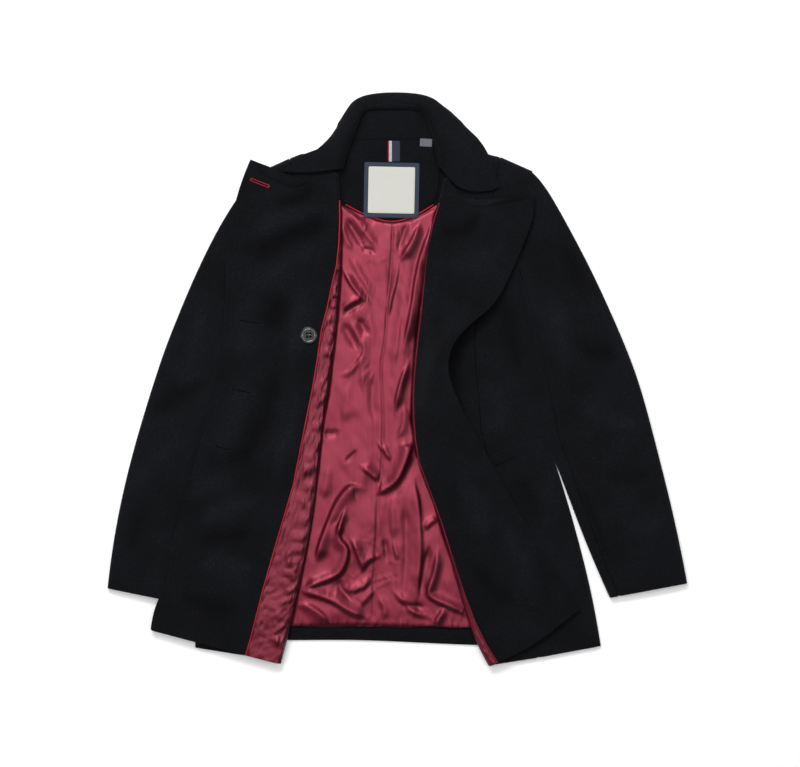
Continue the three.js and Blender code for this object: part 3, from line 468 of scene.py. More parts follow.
# Folds of the back lining, from the neck down to the hem
SATIN_CREASES: tuple[Crease, ...] = (
    Crease(CENTRE_SEAM, 2.2, -1.1, 0.0, 0.02),
    Crease(((433, 222), (419, 265), (411, 314), (406, 337), (403, 350)), 7.5, 4.6, 0.8, 0.2),
    Crease(((420, 222), (413, 240), (405, 253), (398, 262)), 6.5, 3.8, 0.75),
    Crease(((409, 222), (402, 238), (398, 252)), 5.0, -2.2),
    Crease(((399, 262), (395, 285), (391, 300), (388, 320)), 4.6, 2.4, -0.6),
    Crease(((402, 300), (397, 338), (393, 372)), 7.0, 1.8, -0.5),
    Crease(((409, 360), (401, 381), (396, 402), (394, 414)), 5.5, 3.6, 0.75),
    Crease(((345, 217), (352, 228), (360, 241), (365, 250)), 5.0, -3.4),
    Crease(((352, 216), (361, 228), (370, 240), (378, 248)), 6.0, 2.2, 0.5),
    Crease(((341, 222), (346, 238), (354, 252)), 5.5, 2.0, -0.5),
    Crease(((360, 249), (368, 250), (377, 253)), 3.4, -2.4),
    Crease(((362, 221), (369, 223), (376, 224)), 3.0, -1.4),
    Crease(((343, 270), (352, 286), (360, 296), (367, 303)), 5.0, 3.6, 0.75),
    Crease(((348, 252), (358, 272), (369, 290), (372, 302)), 6.5, 1.8, 0.4),
    Crease(((342, 316), (352, 309), (366, 302)), 4.5, -3.0),
    Crease(((341, 310), (353, 302), (364, 297)), 5.0, 2.4, 0.5),
    Crease(((342, 322), (350, 336), (358, 352)), 8.0, -2.8),
    Crease(((358, 318), (364, 328), (371, 336)), 6.0, -2.4),
    Crease(((349, 320), (357, 335), (365, 350)), 6.0, 2.2, 0.3),
    Crease(((338, 376), (348, 372), (358, 362), (364, 352)), 5.0, 2.0, -0.6),
    Crease(((372, 310), (366, 340), (362, 372), (366, 400)), 7.5, 1.8, 0.5),
    Crease(((352, 380), (346, 402), (344, 424)), 9.0, 1.8, 0.4),
    Crease(((376, 372), (372, 400), (374, 424)), 6.5, -1.6),
    Crease(((404, 404), (403, 424), (397, 440)), 6.0, 2.4, 0.5),
    Crease(((322, 434), (332, 434), (341, 432)), 6.0, -2.2),
    Crease(((344, 462), (351, 457), (358, 450)), 3.4, -1.8),
    Crease(((412, 442), (404, 466), (396, 481), (384, 490), (376, 494)), 8.0, 5.4, -0.75, 0.12),
    Crease(((418, 452), (406, 478), (396, 492), (383, 500)), 7.0, -2.2),
    Crease(((360, 466), (369, 472), (380, 482)), 6.5, 3.8, 0.7),
    Crease(((377, 441), (384, 450), (392, 462)), 4.0, 2.8, 0.5),
    Crease(((330, 462), (326, 484), (322, 500)), 8.0, 2.0, 0.3),
    Crease(((362, 487), (350, 487), (337, 503), (324, 534), (315, 562)), 9.0, 6.0, 0.8, 0.16),
    Crease(((346, 508), (341, 520), (336, 536)), 5.0, 3.8, 0.75),
    Crease(((343, 519), (339, 537), (347, 548), (345, 563), (338, 574), (320, 582), (304, 587)), 7.0, 6.2,
           -0.72, 0.12),
    Crease(((350, 538), (356, 549), (363, 570)), 6.0, 4.4, 0.75),
    Crease(((380, 556), (369, 560), (361, 572)), 5.0, 4.0, -0.75),
    Crease(((384, 538), (386, 550), (387, 562)), 4.4, -2.0),
    Crease(((393, 540), (395, 551), (397, 560)), 4.0, 1.8, 0.6),
    Crease(((404, 500), (406, 528), (406, 562), (403, 600)), 7.0, -2.6, 0.0, 0.25),
    Crease(((392, 496), (392, 520), (394, 540)), 6.5, 2.2, 0.4),
    Crease(((414, 478), (419, 516), (420, 556), (417, 597)), 7.5, 4.0, -0.6, 0.2),
    Crease(((431, 543), (426, 564), (420, 596)), 5.5, -3.4),
    Crease(((424, 530), (430, 523), (438, 518)), 5.0, 3.4, 0.7),
    Crease(((438, 548), (434, 572), (428, 592), (436, 600), (452, 607), (466, 615)), 6.0, 5.2, 0.7, 0.16),
    Crease(((446, 606), (440, 614), (432, 626)), 5.5, 4.4, 0.72),
    Crease(((398, 601), (410, 606), (426, 606)), 4.6, -3.2),
    Crease(((392, 590), (402, 600), (414, 612), (430, 618)), 6.0, 3.4, 0.6),
    Crease(((300, 590), (318, 595), (334, 601), (350, 611), (366, 618)), 8.0, 5.8, 0.78, 0.16),
    Crease(((296, 604), (308, 605), (322, 614), (330, 625)), 6.0, 3.6, -0.6),
    Crease(((344, 588), (354, 590), (366, 584), (372, 574)), 6.0, 3.2, 0.6),
    Crease(((336, 578), (344, 592), (352, 600)), 5.0, -3.0),
    Crease(((376, 588), (366, 598), (360, 606)), 6.5, 2.6, -0.5),
    Crease(((378, 596), (384, 608), (382, 620)), 5.5, 2.2, 0.5),
)
# Crushed patches of the back lining
SATIN_CRUMPLES: tuple[Crumple, ...] = (
    Crumple((376, 258), (12, 10), 1.0),
    Crumple((366, 228), (14, 7), 0.9),
    Crumple((396, 243), (9, 16), 0.8),
    Crumple((364, 300), (10, 18), 0.9),
    Crumple((362, 372), (13, 16), 0.8),
    Crumple((384, 452), (10, 12), 1.3),
    Crumple((366, 548), (18, 16), 0.9),
    Crumple((356, 588), (18, 14), 1.4),
    Crumple((384, 580), (14, 14), 1.3),
    Crumple((392, 556), (14, 10), 0.8),
    Crumple((462, 612), (13, 13), 1.5),
    Crumple((436, 524), (8, 12), 0.8),
    Crumple((420, 612), (24, 8), 1.0),
    Crumple((330, 596), (14, 18), 0.7),
)
# Where the right front's lining strip is gathered, from the neck down
STRIP_GATHERS: Path = (
    (340, 268), (338, 283), (337, 296), (335, 306), (336, 318), (334, 328), (333, 340), (331, 354),
    (330, 372), (327, 386), (326, 400), (325, 414), (321, 428), (320, 444), (316, 458), (312, 470),
    (311, 486), (306, 502), (303, 518), (300, 534), (297, 548), (293, 562), (289, 574), (290, 588),
    (286, 600), (283, 614), (280, 628), (277, 640),
)
PUCKER_SEED = 41
SMALL_PUCKERS = 90


def strip_creases() -> tuple[Crease, ...]:
    """Gives the puckers across the lining strip, each a little different.

    Places and reaches are in pixels, widths and heights in millimetres.

    Returns:
        One deep pucker at each gather and short ones scattered between them.
    """
    random = np.random.default_rng(SEED + PUCKER_SEED)
    creases = []
    for x, y in STRIP_GATHERS:
        reach = random.uniform(6.0, 11.0)
        rise = random.uniform(-6.0, 7.0)
        bow = random.uniform(-3.0, 3.0)
        path = ((x - reach, y - rise), (x, y + bow), (x + reach, y + rise))
        lean = random.choice((-0.7, 0.7))
        width = random.uniform(1.7, 2.8)
        height = random.uniform(2.2, 3.6)
        creases.append(Crease(path, width, height, lean, taper=0.25))
    for _ in range(SMALL_PUCKERS):
        x, y = STRIP_GATHERS[random.integers(len(STRIP_GATHERS))]
        x += random.uniform(-12.0, 8.0)
        y += random.uniform(-8.0, 8.0)
        turn = random.uniform(0.0, math.pi)
        reach = random.uniform(3.0, 6.5)
        across, down = reach * math.cos(turn), reach * math.sin(turn)
        path = ((x - across, y - down), (x + across, y + down))
        width = random.uniform(1.2, 1.9)
        height = random.uniform(1.2, 2.6)
        creases.append(Crease(path, width, height, lean=0.6, taper=0.3))
    return tuple(creases)


STRIP_CREASES: tuple[Crease, ...] = strip_creases()

# Each wave: its length and height in metres, the number added to the seed, its stretch along Y
FLAP_WAVES = ((0.075, 0.0007, 0, 1.0), (0.032, 0.0002, 1, 1.0))
LOWER_WAVES = ((0.085, 0.0006, 11, 1.0), (0.034, 0.00016, 12, 1.0))
COLLAR_WAVES = ((0.05, 0.0002, 15, 1.0),)
SATIN_WAVES = ((0.042, 0.0005, 27, 1.9), (0.017, 0.00016, 29, 1.5))
FINE_WAVES = ((0.009, 0.00008, 30, 5.0),)
HEM_GATHERS = ((0.0085, 0.00075, 28, 7.0),)
STRIP_WAVES = ((0.014, 0.0003, 33, 0.7),)


def waves(xy: np.ndarray, table: tuple[tuple[float, float, int, float], ...]) -> np.ndarray:
    """Adds up the slow waves of a table at plan points, in metres."""
    return sum(ripples(xy, wave, height, SEED + number, stretch) for wave, height, number, stretch in table)


def creased(xy: np.ndarray, base: np.ndarray, creases: tuple[Crease, ...]) -> np.ndarray:
    """Adds creases to the height that a cloth has at plan points, in metres."""
    return sum((crease.lift(xy) for crease in creases), base)


def flap_lay(xy: np.ndarray) -> np.ndarray:
    """Gives how the turned fronts lie above the plain surface of their solids."""
    return creased(xy, waves(xy, FLAP_WAVES), WOOL_FOLDS)


def lower_lay(xy: np.ndarray) -> np.ndarray:
    """Gives how the lower layers and the sleeves lie."""
    return creased(xy, waves(xy, LOWER_WAVES), LOWER_FOLDS)


def collar_lay(xy: np.ndarray) -> np.ndarray:
    """Gives the hollows between the collar's roll and its stand."""
    return creased(xy, waves(xy, COLLAR_WAVES), COLLAR_FOLDS)


def lining_lay(xy: np.ndarray) -> np.ndarray:
    """Gives the creases of the back lining, which hardly dip below its solid."""
    total = creased(xy, LINING_PUFF * inside(xy, LINING_OUTLINE, PUFF_EDGE), SATIN_CREASES)
    for number, crumple in enumerate(SATIN_CRUMPLES):
        total += crumple.lift(xy, SEED + CRUMPLE_SEED + number)
    total += waves(xy, SATIN_WAVES)
    total += waves(xy, FINE_WAVES)
    above_hem = ramp(xy[:, 1], on_plan(0, GATHERED_HEM)[1], GATHER_REACH)
    total += (1.0 - above_hem) * waves(xy, HEM_GATHERS)
    return np.maximum(total, SATIN_FLOOR) * inside(xy, LINING_OUTLINE, CREASE_EDGE)


def strip_lay(xy: np.ndarray) -> np.ndarray:
    """Gives the puckers of the lining strips along the fronts."""
    crushed = ridges(xy, wave=0.012, height=0.0011, seed=SEED + 31, stretch=0.6) + waves(xy, STRIP_WAVES)
    return flap_lay(xy) + np.maximum(creased(xy, crushed, STRIP_CREASES), SATIN_FLOOR)


class Lay(Enum):
    """Which field of folds a panel lies in."""

    STILL = "still"
    FLAP = "flap"
    LOWER = "lower"
    BOTH = "both"
    LINING = "lining"
    STRIP = "strip"
    COLLAR = "collar"


PLAN_LAYS = {Lay.FLAP: flap_lay, Lay.LINING: lining_lay, Lay.STRIP: strip_lay, Lay.COLLAR: collar_lay}


def lay_rise(points: np.ndarray, lay: Lay) -> np.ndarray:
    """Gives how high the folds of the cloth stand at its points.

    Args:
        points: Array of shape (n, 3).
        lay: The field of folds.

    Returns:
        Heights in metres, below 0 in a trough.
    """
    xy = points[:, :2]
    if lay is Lay.STILL:
        return np.zeros(len(xy))
    if lay in PLAN_LAYS:
        return PLAN_LAYS[lay](xy)
    low = lower_lay(xy) * ramp(points[:, 2], LOWER_FOOT, LOWER_GIVE)
    if lay is Lay.LOWER:
        return low
    share = ramp(points[:, 2], FLAP_FOOT, FLAP_GIVE)
    return (1 - share) * low * UNDER_SHARE + share * flap_lay(xy)


@dataclass(frozen=True)
class Press:
    """A sideways push that brings a panel's edge against its neighbour.

    Attributes:
        path: Places along the edge, in pixels.
        reach: Distance over which the push fades, in millimetres.
        push: How far it moves, in millimetres along X and Y.
    """

    path: Path
    reach: float
    push: tuple[float, float]

    def move(self, points: np.ndarray) -> np.ndarray:
        """Gives the pushed points, shape (n, 3)."""
        weight = Crease(self.path, self.reach, PRESS_HEIGHT, taper=PRESS_TAPER).lift(points[:, :2])
        moved = points.copy()
        moved[:, :2] += weight[:, None] * np.array(self.push) * MM
        return moved


ARMHOLE: Path = (
    (533, 160), (531, 180), (528, 200), (522, 232), (521, 262), (521, 288), (527, 311), (532, 345),
    (538, 384), (546, 428), (556, 470),
)
PRESSES: dict[str, tuple[Press, ...]] = {
    "top_sleeve_left": (Press(ARMHOLE, 10.0, (-5.0, 0.0)),),
    "under_sleeve_left": (Press(ARMHOLE, 10.0, (-5.0, 0.0)),),
    "side_front_left": (Press(((524, 618), (532, 640), (540, 672)), 6.0, (-3.0, 0.0)),),
    "collar_stand": (
        Press(((366, 108), (361, 119), (358, 128), (353, 140)), 9.5, (-8.0, 0.0)),
        Press(((417, 108), (423, 118), (427, 127), (433, 136)), 8.0, (7.0, 0.0)),
    ),
    "facing_left": (
        Press(((437, 196), (428, 252), (421, 295), (415, 338), (411, 380), (410, 425), (417, 460), (428, 492),
               (442, 535), (456, 580), (466, 606)), 7.0, (-3.2, 0.0)),
    ),
}


FLOAT = "NodeSocketFloat"
COLOUR = "NodeSocketColor"
UNIT = (0.0, 1.0)
SCREEN_GAMMA = 2.2

# Painted light and shade: how dark the crest attribute makes the wool's hollows and the satin's sides turned
# from the light, and how bright the wool's crests
NAP_PAINTED_LIGHT_AND_SHADE = (0.3, 1.55)
WEAVE_PAINTED_SHADE = (0.26, 1.0)


class NodeWriter:
    """A small writer of shader and geometry node trees."""

    def __init__(self, tree: bpy.types.NodeTree) -> None:
        """Keeps the tree that it writes in."""
        self.tree = tree

    def feed(self, node: bpy.types.Node, inputs: dict) -> bpy.types.Node:
        """Fills a node's sockets.

        Args:
            node: The node.
            inputs: Socket name or index to a value or to another node's output.

        Returns:
            The same node.
        """
        for name, value in inputs.items():
            socket = node.inputs[name]
            if isinstance(value, bpy.types.NodeSocket):
                self.tree.links.new(value, socket)
            else:
                socket.default_value = value
        return node

    def node(self, kind: str, inputs: dict | None = None, **settings: object) -> bpy.types.Node:
        """Adds a node.

        Args:
            kind: The node's type name.
            inputs: Socket name or index to a value or to another node's output.
            settings: Properties of the node.

        Returns:
            The new node.
        """
        node = self.tree.nodes.new(kind)
        for name, value in settings.items():
            setattr(node, name, value)
        return self.feed(node, inputs or {})

    def calculate(self, operation: str, *values: object) -> bpy.types.NodeSocket:
        """Gives the result of one operation on numbers."""
        return self.node("ShaderNodeMath", dict(enumerate(values)), operation=operation).outputs[0]

    def scaled(self, vector: object, factor: object) -> bpy.types.NodeSocket:
        """Gives a vector or colour times a number."""
        return self.node("ShaderNodeVectorMath", {0: vector, "Scale": factor}, operation="SCALE").outputs[0]

    def ranged(self, value: object, source: tuple, target: tuple) -> bpy.types.NodeSocket:
        """Maps a value from one range to another, and holds it there."""
        limits = dict(zip(("From Min", "From Max", "To Min", "To Max"), source + target))
        return self.node("ShaderNodeMapRange", {"Value": value, **limits}).outputs["Result"]

    def noise(self, place: object, **inputs: float) -> bpy.types.NodeSocket:
        """Gives noise at a place, from about 0 to 1."""
        return self.node("ShaderNodeTexNoise", {"Vector": place, **inputs}).outputs["Fac"]

    def mixed(self, factor: object, first: object, second: object) -> bpy.types.NodeSocket:
        """Mixes two colours."""
        inputs = {"Factor": factor, "A": first, "B": second}
        return self.node("ShaderNodeMix", inputs, data_type="RGBA").outputs["Result"]

    def place(self) -> bpy.types.NodeSocket:
        """Gives the place on the object, in metres."""
        return self.node("ShaderNodeTexCoord").outputs["Object"]


def new_group(name: str, inputs: dict[str, tuple[str, object]], outputs: dict[str, str]) -> tuple:
    """Makes an empty shader group with named sockets.

    Args:
        name: The group's name.
        inputs: Socket name to its type and default value.
        outputs: Socket name to its type.

    Returns:
        The group's writer, the outputs of its input node, and its output node.
    """
    tree = bpy.data.node_groups.new(name, "ShaderNodeTree")
    for title, (kind, value) in inputs.items():
        socket = tree.interface.new_socket(title, in_out="INPUT", socket_type=kind)
        socket.default_value = value
    for title, kind in outputs.items():
        tree.interface.new_socket(title, in_out="OUTPUT", socket_type=kind)
    write = NodeWriter(tree)
    return write, write.node("NodeGroupInput").outputs, write.node("NodeGroupOutput")


def nap_group() -> bpy.types.NodeTree:
    """Builds the milled wool surface: colour with paler hairs, and a soft felted height. The colour is also
    painted darker in hollows and paler on crests, as shade and light.

    Returns:
        The shader group.
    """
    write, given, out = new_group(
        "milled_nap",
        {
            "Base": (COLOUR, (0.01, 0.01, 0.012, 1)),
            "Hair": (COLOUR, (0.03, 0.03, 0.035, 1)),
            "Painted light and shade": (FLOAT, 0.5),
        },
        {"Color": COLOUR, "Height": FLOAT, "Roughness": FLOAT},
    )
    place = write.place()
    felt = write.noise(place, Scale=420.0, Detail=5.0, Roughness=0.62)
    hairs = write.noise(place, Scale=640.0, Detail=3.0, Roughness=0.8, Distortion=1.6)
    patches = write.noise(place, Scale=26.0, Detail=4.0, Roughness=0.6)
    mask = write.ranged(hairs, (0.5, 0.74), UNIT)
    cloud = write.ranged(patches, (0.3, 0.7), (0.25, 0.85))
    tint = write.mixed(write.calculate("MULTIPLY", mask, cloud), given["Base"], given["Hair"])
    write.feed(out, {
        "Color": write.scaled(tint, write.ranged(given["Painted light and shade"], UNIT, NAP_PAINTED_LIGHT_AND_SHADE)),
        "Height": write.calculate("ADD", felt, hairs),
        "Roughness": write.ranged(felt, (0.3, 0.7), (0.82, 1.0)),
    })
    return write.tree


def weave_group() -> bpy.types.NodeTree:
    """Builds a plain weave: crossing threads with a little unevenness, and painted shade on the folds' sides
    turned from the light.

    Returns:
        The shader group.
    """
    write, given, out = new_group(
        "thread_weave",
        {
            "Thread": (COLOUR, (0.5, 0.1, 0.2, 1)),
            "Gap": (COLOUR, (0.3, 0.05, 0.1, 1)),
            "Threads per metre": (FLOAT, 2500.0),
            "Uneven": (FLOAT, 0.3),
            "Painted light and shade": (FLOAT, 1.0),
        },
        {"Color": COLOUR, "Height": FLOAT},
    )
    place = write.place()
    parts = write.node("ShaderNodeSeparateXYZ", {0: write.scaled(place, given["Threads per metre"])}).outputs
    turns = [write.calculate("MULTIPLY", parts[axis], math.pi) for axis in ("X", "Y")]
    threads = [write.calculate("SINE", turn) for turn in turns]
    half = write.calculate("MULTIPLY_ADD", write.calculate("MULTIPLY", *threads), 0.5, 0.5)
    uneven = write.calculate("MULTIPLY", write.noise(place, Scale=240.0, Detail=3.0), given["Uneven"])
    height = write.calculate("ADD", half, uneven)
    tint = write.mixed(height, given["Gap"], given["Thread"])
    write.feed(out, {
        "Color": write.scaled(tint, write.ranged(given["Painted light and shade"], UNIT, WEAVE_PAINTED_SHADE)),
        "Height": height,
    })
    return write.tree


def stripe_group() -> bpy.types.NodeTree:
    """Builds two woven stripes on a ribbon, by their place across the coat.

    Returns:
        The shader group.
    """
    write, given, out = new_group(
        "ribbon_stripes",
        {
            "Ground": (COLOUR, (0.02, 0.03, 0.05, 1)),
            "First": (COLOUR, (0.4, 0.02, 0.05, 1)),
            "First middle": (FLOAT, 0.0),
            "First half width": (FLOAT, 0.001),
            "Second": (COLOUR, (0.7, 0.7, 0.7, 1)),
            "Second middle": (FLOAT, 0.0),
            "Second half width": (FLOAT, 0.001),
        },
        {"Color": COLOUR},
    )
    across = write.node("ShaderNodeSeparateXYZ", {0: write.place()}).outputs["X"]
    colour = given["Ground"]
    for stripe in ("First", "Second"):
        within = write.calculate("COMPARE", across, given[f"{stripe} middle"], given[f"{stripe} half width"])
        colour = write.mixed(within, colour, given[stripe])
    write.feed(out, {"Color": colour})
    return write.tree


def rgba(red: float, green: float, blue: float) -> tuple[float, float, float, float]:
    """Gives a linear colour from a colour as it shows on screen, 0 to 255."""
    return tuple((part / 255.0) ** SCREEN_GAMMA for part in (red, green, blue)) + (1.0,)


@dataclass(frozen=True)
class Finish:
    """A material built on the principled shader.

    Attributes:
        name: The material's name.
        base: Colour as it shows, 0 to 255.
        accent: The second colour, of hairs or of the gaps between threads.
        roughness: Roughness of the surface.
        sheen: Weight of the cloth's sheen.
        sheen_roughness: Roughness of the sheen.
        sheen_tint: Colour of the sheen.
        bump: Strength of the surface's relief.
        depth: Depth of the relief in metres.
        threads: Threads per metre, or 0 for milled wool.
        specular: Specular level.
        coat: Weight of a clear coat.
        metallic: How far the reflection takes the cloth's colour.
        creased: Whether the crest attribute paints shade into the wool's hollows and onto the satin's shaded
            sides, and light onto the wool's crests.
        striped: Whether the ribbon's stripes are woven in.
    """

    name: str
    base: tuple[float, float, float]
    accent: tuple[float, float, float]
    roughness: float = 0.9
    sheen: float = 0.0
    sheen_roughness: float = 0.5
    sheen_tint: tuple[float, float, float] = (255, 255, 255)
    bump: float = 0.3
    depth: float = 0.0004
    threads: float = 0.0
    specular: float = 0.5
    coat: float = 0.0
    metallic: float = 0.0
    creased: bool = False
    striped: bool = False

    def material(self, groups: dict[str, bpy.types.NodeTree]) -> bpy.types.Material:
        """Builds the material.

        Args:
            groups: The shared shader groups by name.

        Returns:
            The material.
        """
        material = bpy.data.materials.new(self.name)
        material.use_nodes = True
        material.node_tree.nodes.clear()
        write = NodeWriter(material.node_tree)
        main, second = rgba(*self.base), rgba(*self.accent)
        if self.threads:
            woven = {"Thread": main, "Gap": second, "Threads per metre": self.threads}
            surface = write.node("ShaderNodeGroup", woven, node_tree=groups["weave"])
        else:
            surface = write.node("ShaderNodeGroup", {"Base": main, "Hair": second}, node_tree=groups["nap"])
        # Painted light and shade, read from the panel's crest attribute
        if self.creased:
            crest = write.node("ShaderNodeAttribute", attribute_name="crest")
            write.feed(surface, {"Painted light and shade": crest.outputs["Fac"]})
        if self.striped:
            stripes = write.node("ShaderNodeGroup", RIBBON_STRIPES, node_tree=groups["stripes"])
            write.feed(surface, {"Thread": stripes.outputs["Color"]})
        relief = {"Strength": self.bump, "Distance": self.depth, "Height": surface.outputs["Height"]}
        shader = write.node("ShaderNodeBsdfPrincipled", {
            "Base Color": surface.outputs["Color"],
            "Roughness": self.roughness if self.threads else surface.outputs["Roughness"],
            "Sheen Weight": self.sheen,
            "Sheen Roughness": self.sheen_roughness,
            "Sheen Tint": rgba(*self.sheen_tint),
            "Specular IOR Level": self.specular,
            "Coat Weight": self.coat,
            "Metallic": self.metallic,
            "Normal": write.node("ShaderNodeBump", relief).outputs["Normal"],
        })
        write.node("ShaderNodeOutputMaterial", {"Surface": shader.outputs["BSDF"]})
        return material


WOOL_LOOK = {
    "sheen": 0.07, "sheen_roughness": 0.45, "sheen_tint": (170, 175, 190), "bump": 0.9, "depth": 0.0011,
    "specular": 0.12, "creased": True,
}
RIBBON = (47, 54, 68)
RIBBON_STRIPES = {
    "Ground": rgba(*RIBBON),
    "First": rgba(168, 52, 74),
    "First middle": -0.0126,
    "First half width": 0.0014,
    "Second": rgba(216, 208, 214),
    "Second middle": -0.0091,
    "Second half width": 0.0019,
}
SATIN = Finish(
    "crimson_satin", (134, 42, 62), (110, 28, 45), roughness=0.4, sheen=0.05, sheen_roughness=0.3,
    sheen_tint=(255, 150, 170), bump=0.08, depth=0.00012, threads=2600.0, specular=0.42, metallic=0.5,
    creased=True,
)
PIPING = Finish("corded_piping", (176, 22, 48), (120, 10, 28), roughness=0.45, sheen=0.1, bump=0.2,
                depth=0.0002, threads=1500.0, specular=0.4)
TABS = {"bump": 0.3, "depth": 0.00015, "threads": 1700.0, "specular": 0.2}
SEWING = {"bump": 0.3, "threads": 2400.0}
BUTTONS = {"bump": 0.01, "depth": 0.00005, "threads": 600.0}
FINISHES: dict[str, Finish] = {
    "wool": Finish("melton_wool", (18, 19, 22), (51, 52, 58), **WOOL_LOOK),
    "facing": Finish("facing_wool", (17, 18, 21), (49, 50, 56), **WOOL_LOOK),
    "satin": SATIN,
    # The lining strips: the same satin painted darker, as the shade of their many puckers
    "strip satin": replace(SATIN, name="strip_satin_painted_shade", base=(120, 37, 55), accent=(98, 24, 40)),
    "piping": PIPING,
    # The left piping: the same piping painted darker, as shade where the front's edge rolls over it
    "shaded piping": replace(PIPING, name="piping_painted_shade", base=(118, 26, 46), accent=(84, 14, 28),
                             roughness=0.5, specular=0.3),
    "tape": Finish("navy_ribbon", RIBBON, (32, 38, 52), roughness=0.7, sheen=0.1, bump=0.35,
                   depth=0.0002, threads=1200.0, specular=0.2, striped=True),
    "size": Finish("size_label", (106, 108, 115), (84, 86, 94), roughness=0.8, **TABS),
    "label": Finish("woven_label", (206, 206, 199), (184, 184, 176), roughness=0.85, **TABS),
    "frame": Finish("label_border", (61, 67, 80), (41, 47, 60), roughness=0.8, sheen=0.05, bump=0.4,
                    depth=0.0002, threads=1100.0, specular=0.2),
    "crimson": Finish("crimson_thread", (150, 30, 52), (110, 16, 32), roughness=0.5, **SEWING),
    "black": Finish("black_thread", (14, 14, 17), (6, 6, 8), roughness=0.6, specular=0.25, **SEWING),
    "grey": Finish("grey_thread", (96, 100, 110), (70, 74, 84), roughness=0.6, specular=0.25, **SEWING),
    # The buttonholes' slits: a near-black strip, painted shade in the openings
    "slit": Finish("slit_shade", (5, 5, 6), (3, 3, 4), roughness=1.0, bump=0.2, threads=1800.0,
                   specular=0.05),
    "polish": Finish("polished_black", (14, 14, 16), (10, 10, 12), roughness=0.12, specular=0.9, coat=1.0,
                     **BUTTONS),
    "button": Finish("black_button", (10, 10, 12), (8, 8, 10), roughness=0.22, specular=0.27, **BUTTONS),
}


class Wardrobe:
    """Holds the finished materials."""

    def __init__(self) -> None:
        """Builds the shared groups and every material."""
        groups = {"nap": nap_group(), "weave": weave_group(), "stripes": stripe_group()}
        self.materials = {name: finish.material(groups) for name, finish in FINISHES.items()}

    def __getitem__(self, name: str) -> bpy.types.Material:
        """Gives a material by its finish name."""
        return self.materials[name]


@dataclass(frozen=True)
class Panel:
    """A sewn panel of cloth that stands for one solid.

    Attributes:
        node: The solid's name.
        finish: Name of the finish.
        slot: The record's material slot. Not used here.
        lay: The field of folds it lies in.
        cut: Width and length it was cut to, in metres. Not used here.
        area: Flat area of the cut in square metres. Not used here.
        rests: What it lies on. Not used here.
        levels: Subdivision levels.
        held: How the cloth is held. Not used here.
        soft_edge: Sharpness that the edges keep, in levels.
    """

    node: str
    finish: str
    slot: Slot
    lay: Lay
    cut: tuple[float, float]
    area: float
    rests: tuple[str, ...]
    levels: int = 3
    held: Held = Held.LAID
    soft_edge: float = 3.0

    def wall(self, frame: dict) -> bpy.types.Object:
        """Makes the panel's smooth wall from its solid.

        Args:
            frame: The loaded frame.

        Returns:
            The object, with its place in its mesh.
        """
        shape = bmesh.new()
        shape.from_mesh(frame["nodes"][self.node].data)
        bmesh.ops.remove_doubles(shape, verts=shape.verts, dist=WELD)
        bmesh.ops.join_triangles(
            shape, faces=shape.faces, angle_face_threshold=FLAT_ANGLE, angle_shape_threshold=SHAPE_ANGLE
        )
        crease = shape.edges.layers.float.new("crease_edge")
        for edge in shape.edges:
            if len(edge.link_faces) == 2 and edge.calc_face_angle(0.0) > EDGE_ANGLE:
                edge[crease] = math.sqrt(self.soft_edge / SHARP_LEVELS)
        piece = new_piece(f"{self.node}_cloth", shape)
        smooth = piece.modifiers.new("rounding", "SUBSURF")
        smooth.levels = smooth.render_levels = self.levels
        smooth.boundary_smooth = "ALL"
        bake(piece)
        return piece

    def build(self, frame: dict, wardrobe: Wardrobe) -> bpy.types.Object:
        """Lays the panel's wall in its folds and gives it its finish.

        Args:
            frame: The loaded frame.
            wardrobe: The materials.

        Returns:
            The finished panel.
        """
        piece = self.wall(frame)
        points = read_points(piece.data)
        rise = lay_rise(points, self.lay)
        # Low on the stand and the neck facing the collar's hollows hardly sink; their shade is painted
        # through the crest attribute below
        if self.lay is Lay.COLLAR:
            points[:, 2] += rise * np.maximum(ramp(points[:, 2], NECK_TOP, NECK_GIVE), NECK_LEAST)
        else:
            points[:, 2] += rise
        for press in PRESSES.get(self.node, ()):
            points = press.move(points)
        piece.data.vertices.foreach_set("co", points.astype(np.float32).ravel())
        piece.data.update()
        # Painted light and shade: on satin the sides turned from the light are painted darker; on wool the
        # hollows darker and the crests paler
        if "satin" in self.finish:
            level = 1.0 - ramp(shaded_side(piece.data), SATIN_FLAT, SATIN_STEEP)
        else:
            level = np.clip(0.5 + 0.5 * rise / CREST_HEIGHT, 0.0, 1.0)
        crest = piece.data.attributes.new("crest", "FLOAT", "POINT")
        crest.data.foreach_set("value", level.astype(np.float32))
        dress(piece, wardrobe[self.finish])
        return piece


def new_piece(name: str, shape: bmesh.types.BMesh) -> bpy.types.Object:
    """Makes an object of a finished shape, and frees the shape.

    Args:
        name: Name of the object and its mesh.
        shape: The faces or edges.

    Returns:
        The object.
    """
    mesh = bpy.data.meshes.new(name)
    shape.to_mesh(mesh)
    shape.free()
    piece = bpy.data.objects.new(name, mesh)
    bpy.context.scene.collection.objects.link(piece)
    return piece


def join_rings(shape: bmesh.types.BMesh, one: list, two: list) -> None:
    """Joins two closed rings of points with faces."""
    for k in range(len(one)):
        after = (k + 1) % len(one)
        shape.faces.new((one[k], one[after], two[after], two[k]))


def bake(piece: bpy.types.Object) -> None:
    """Turns a piece's modifiers into its plain mesh."""
    graph = bpy.context.evaluated_depsgraph_get()
    graph.update()
    mesh = bpy.data.meshes.new_from_object(piece.evaluated_get(graph), depsgraph=graph)
    old = piece.data
    piece.modifiers.clear()
    piece.data = mesh
    bpy.data.meshes.remove(old)


def read_points(mesh: bpy.types.Mesh) -> np.ndarray:
    """Reads a mesh's points as an array of shape (n, 3)."""
    flat = np.empty(len(mesh.vertices) * 3, dtype=np.float32)
    mesh.vertices.foreach_get("co", flat)
    return flat.reshape(-1, 3).astype(float)


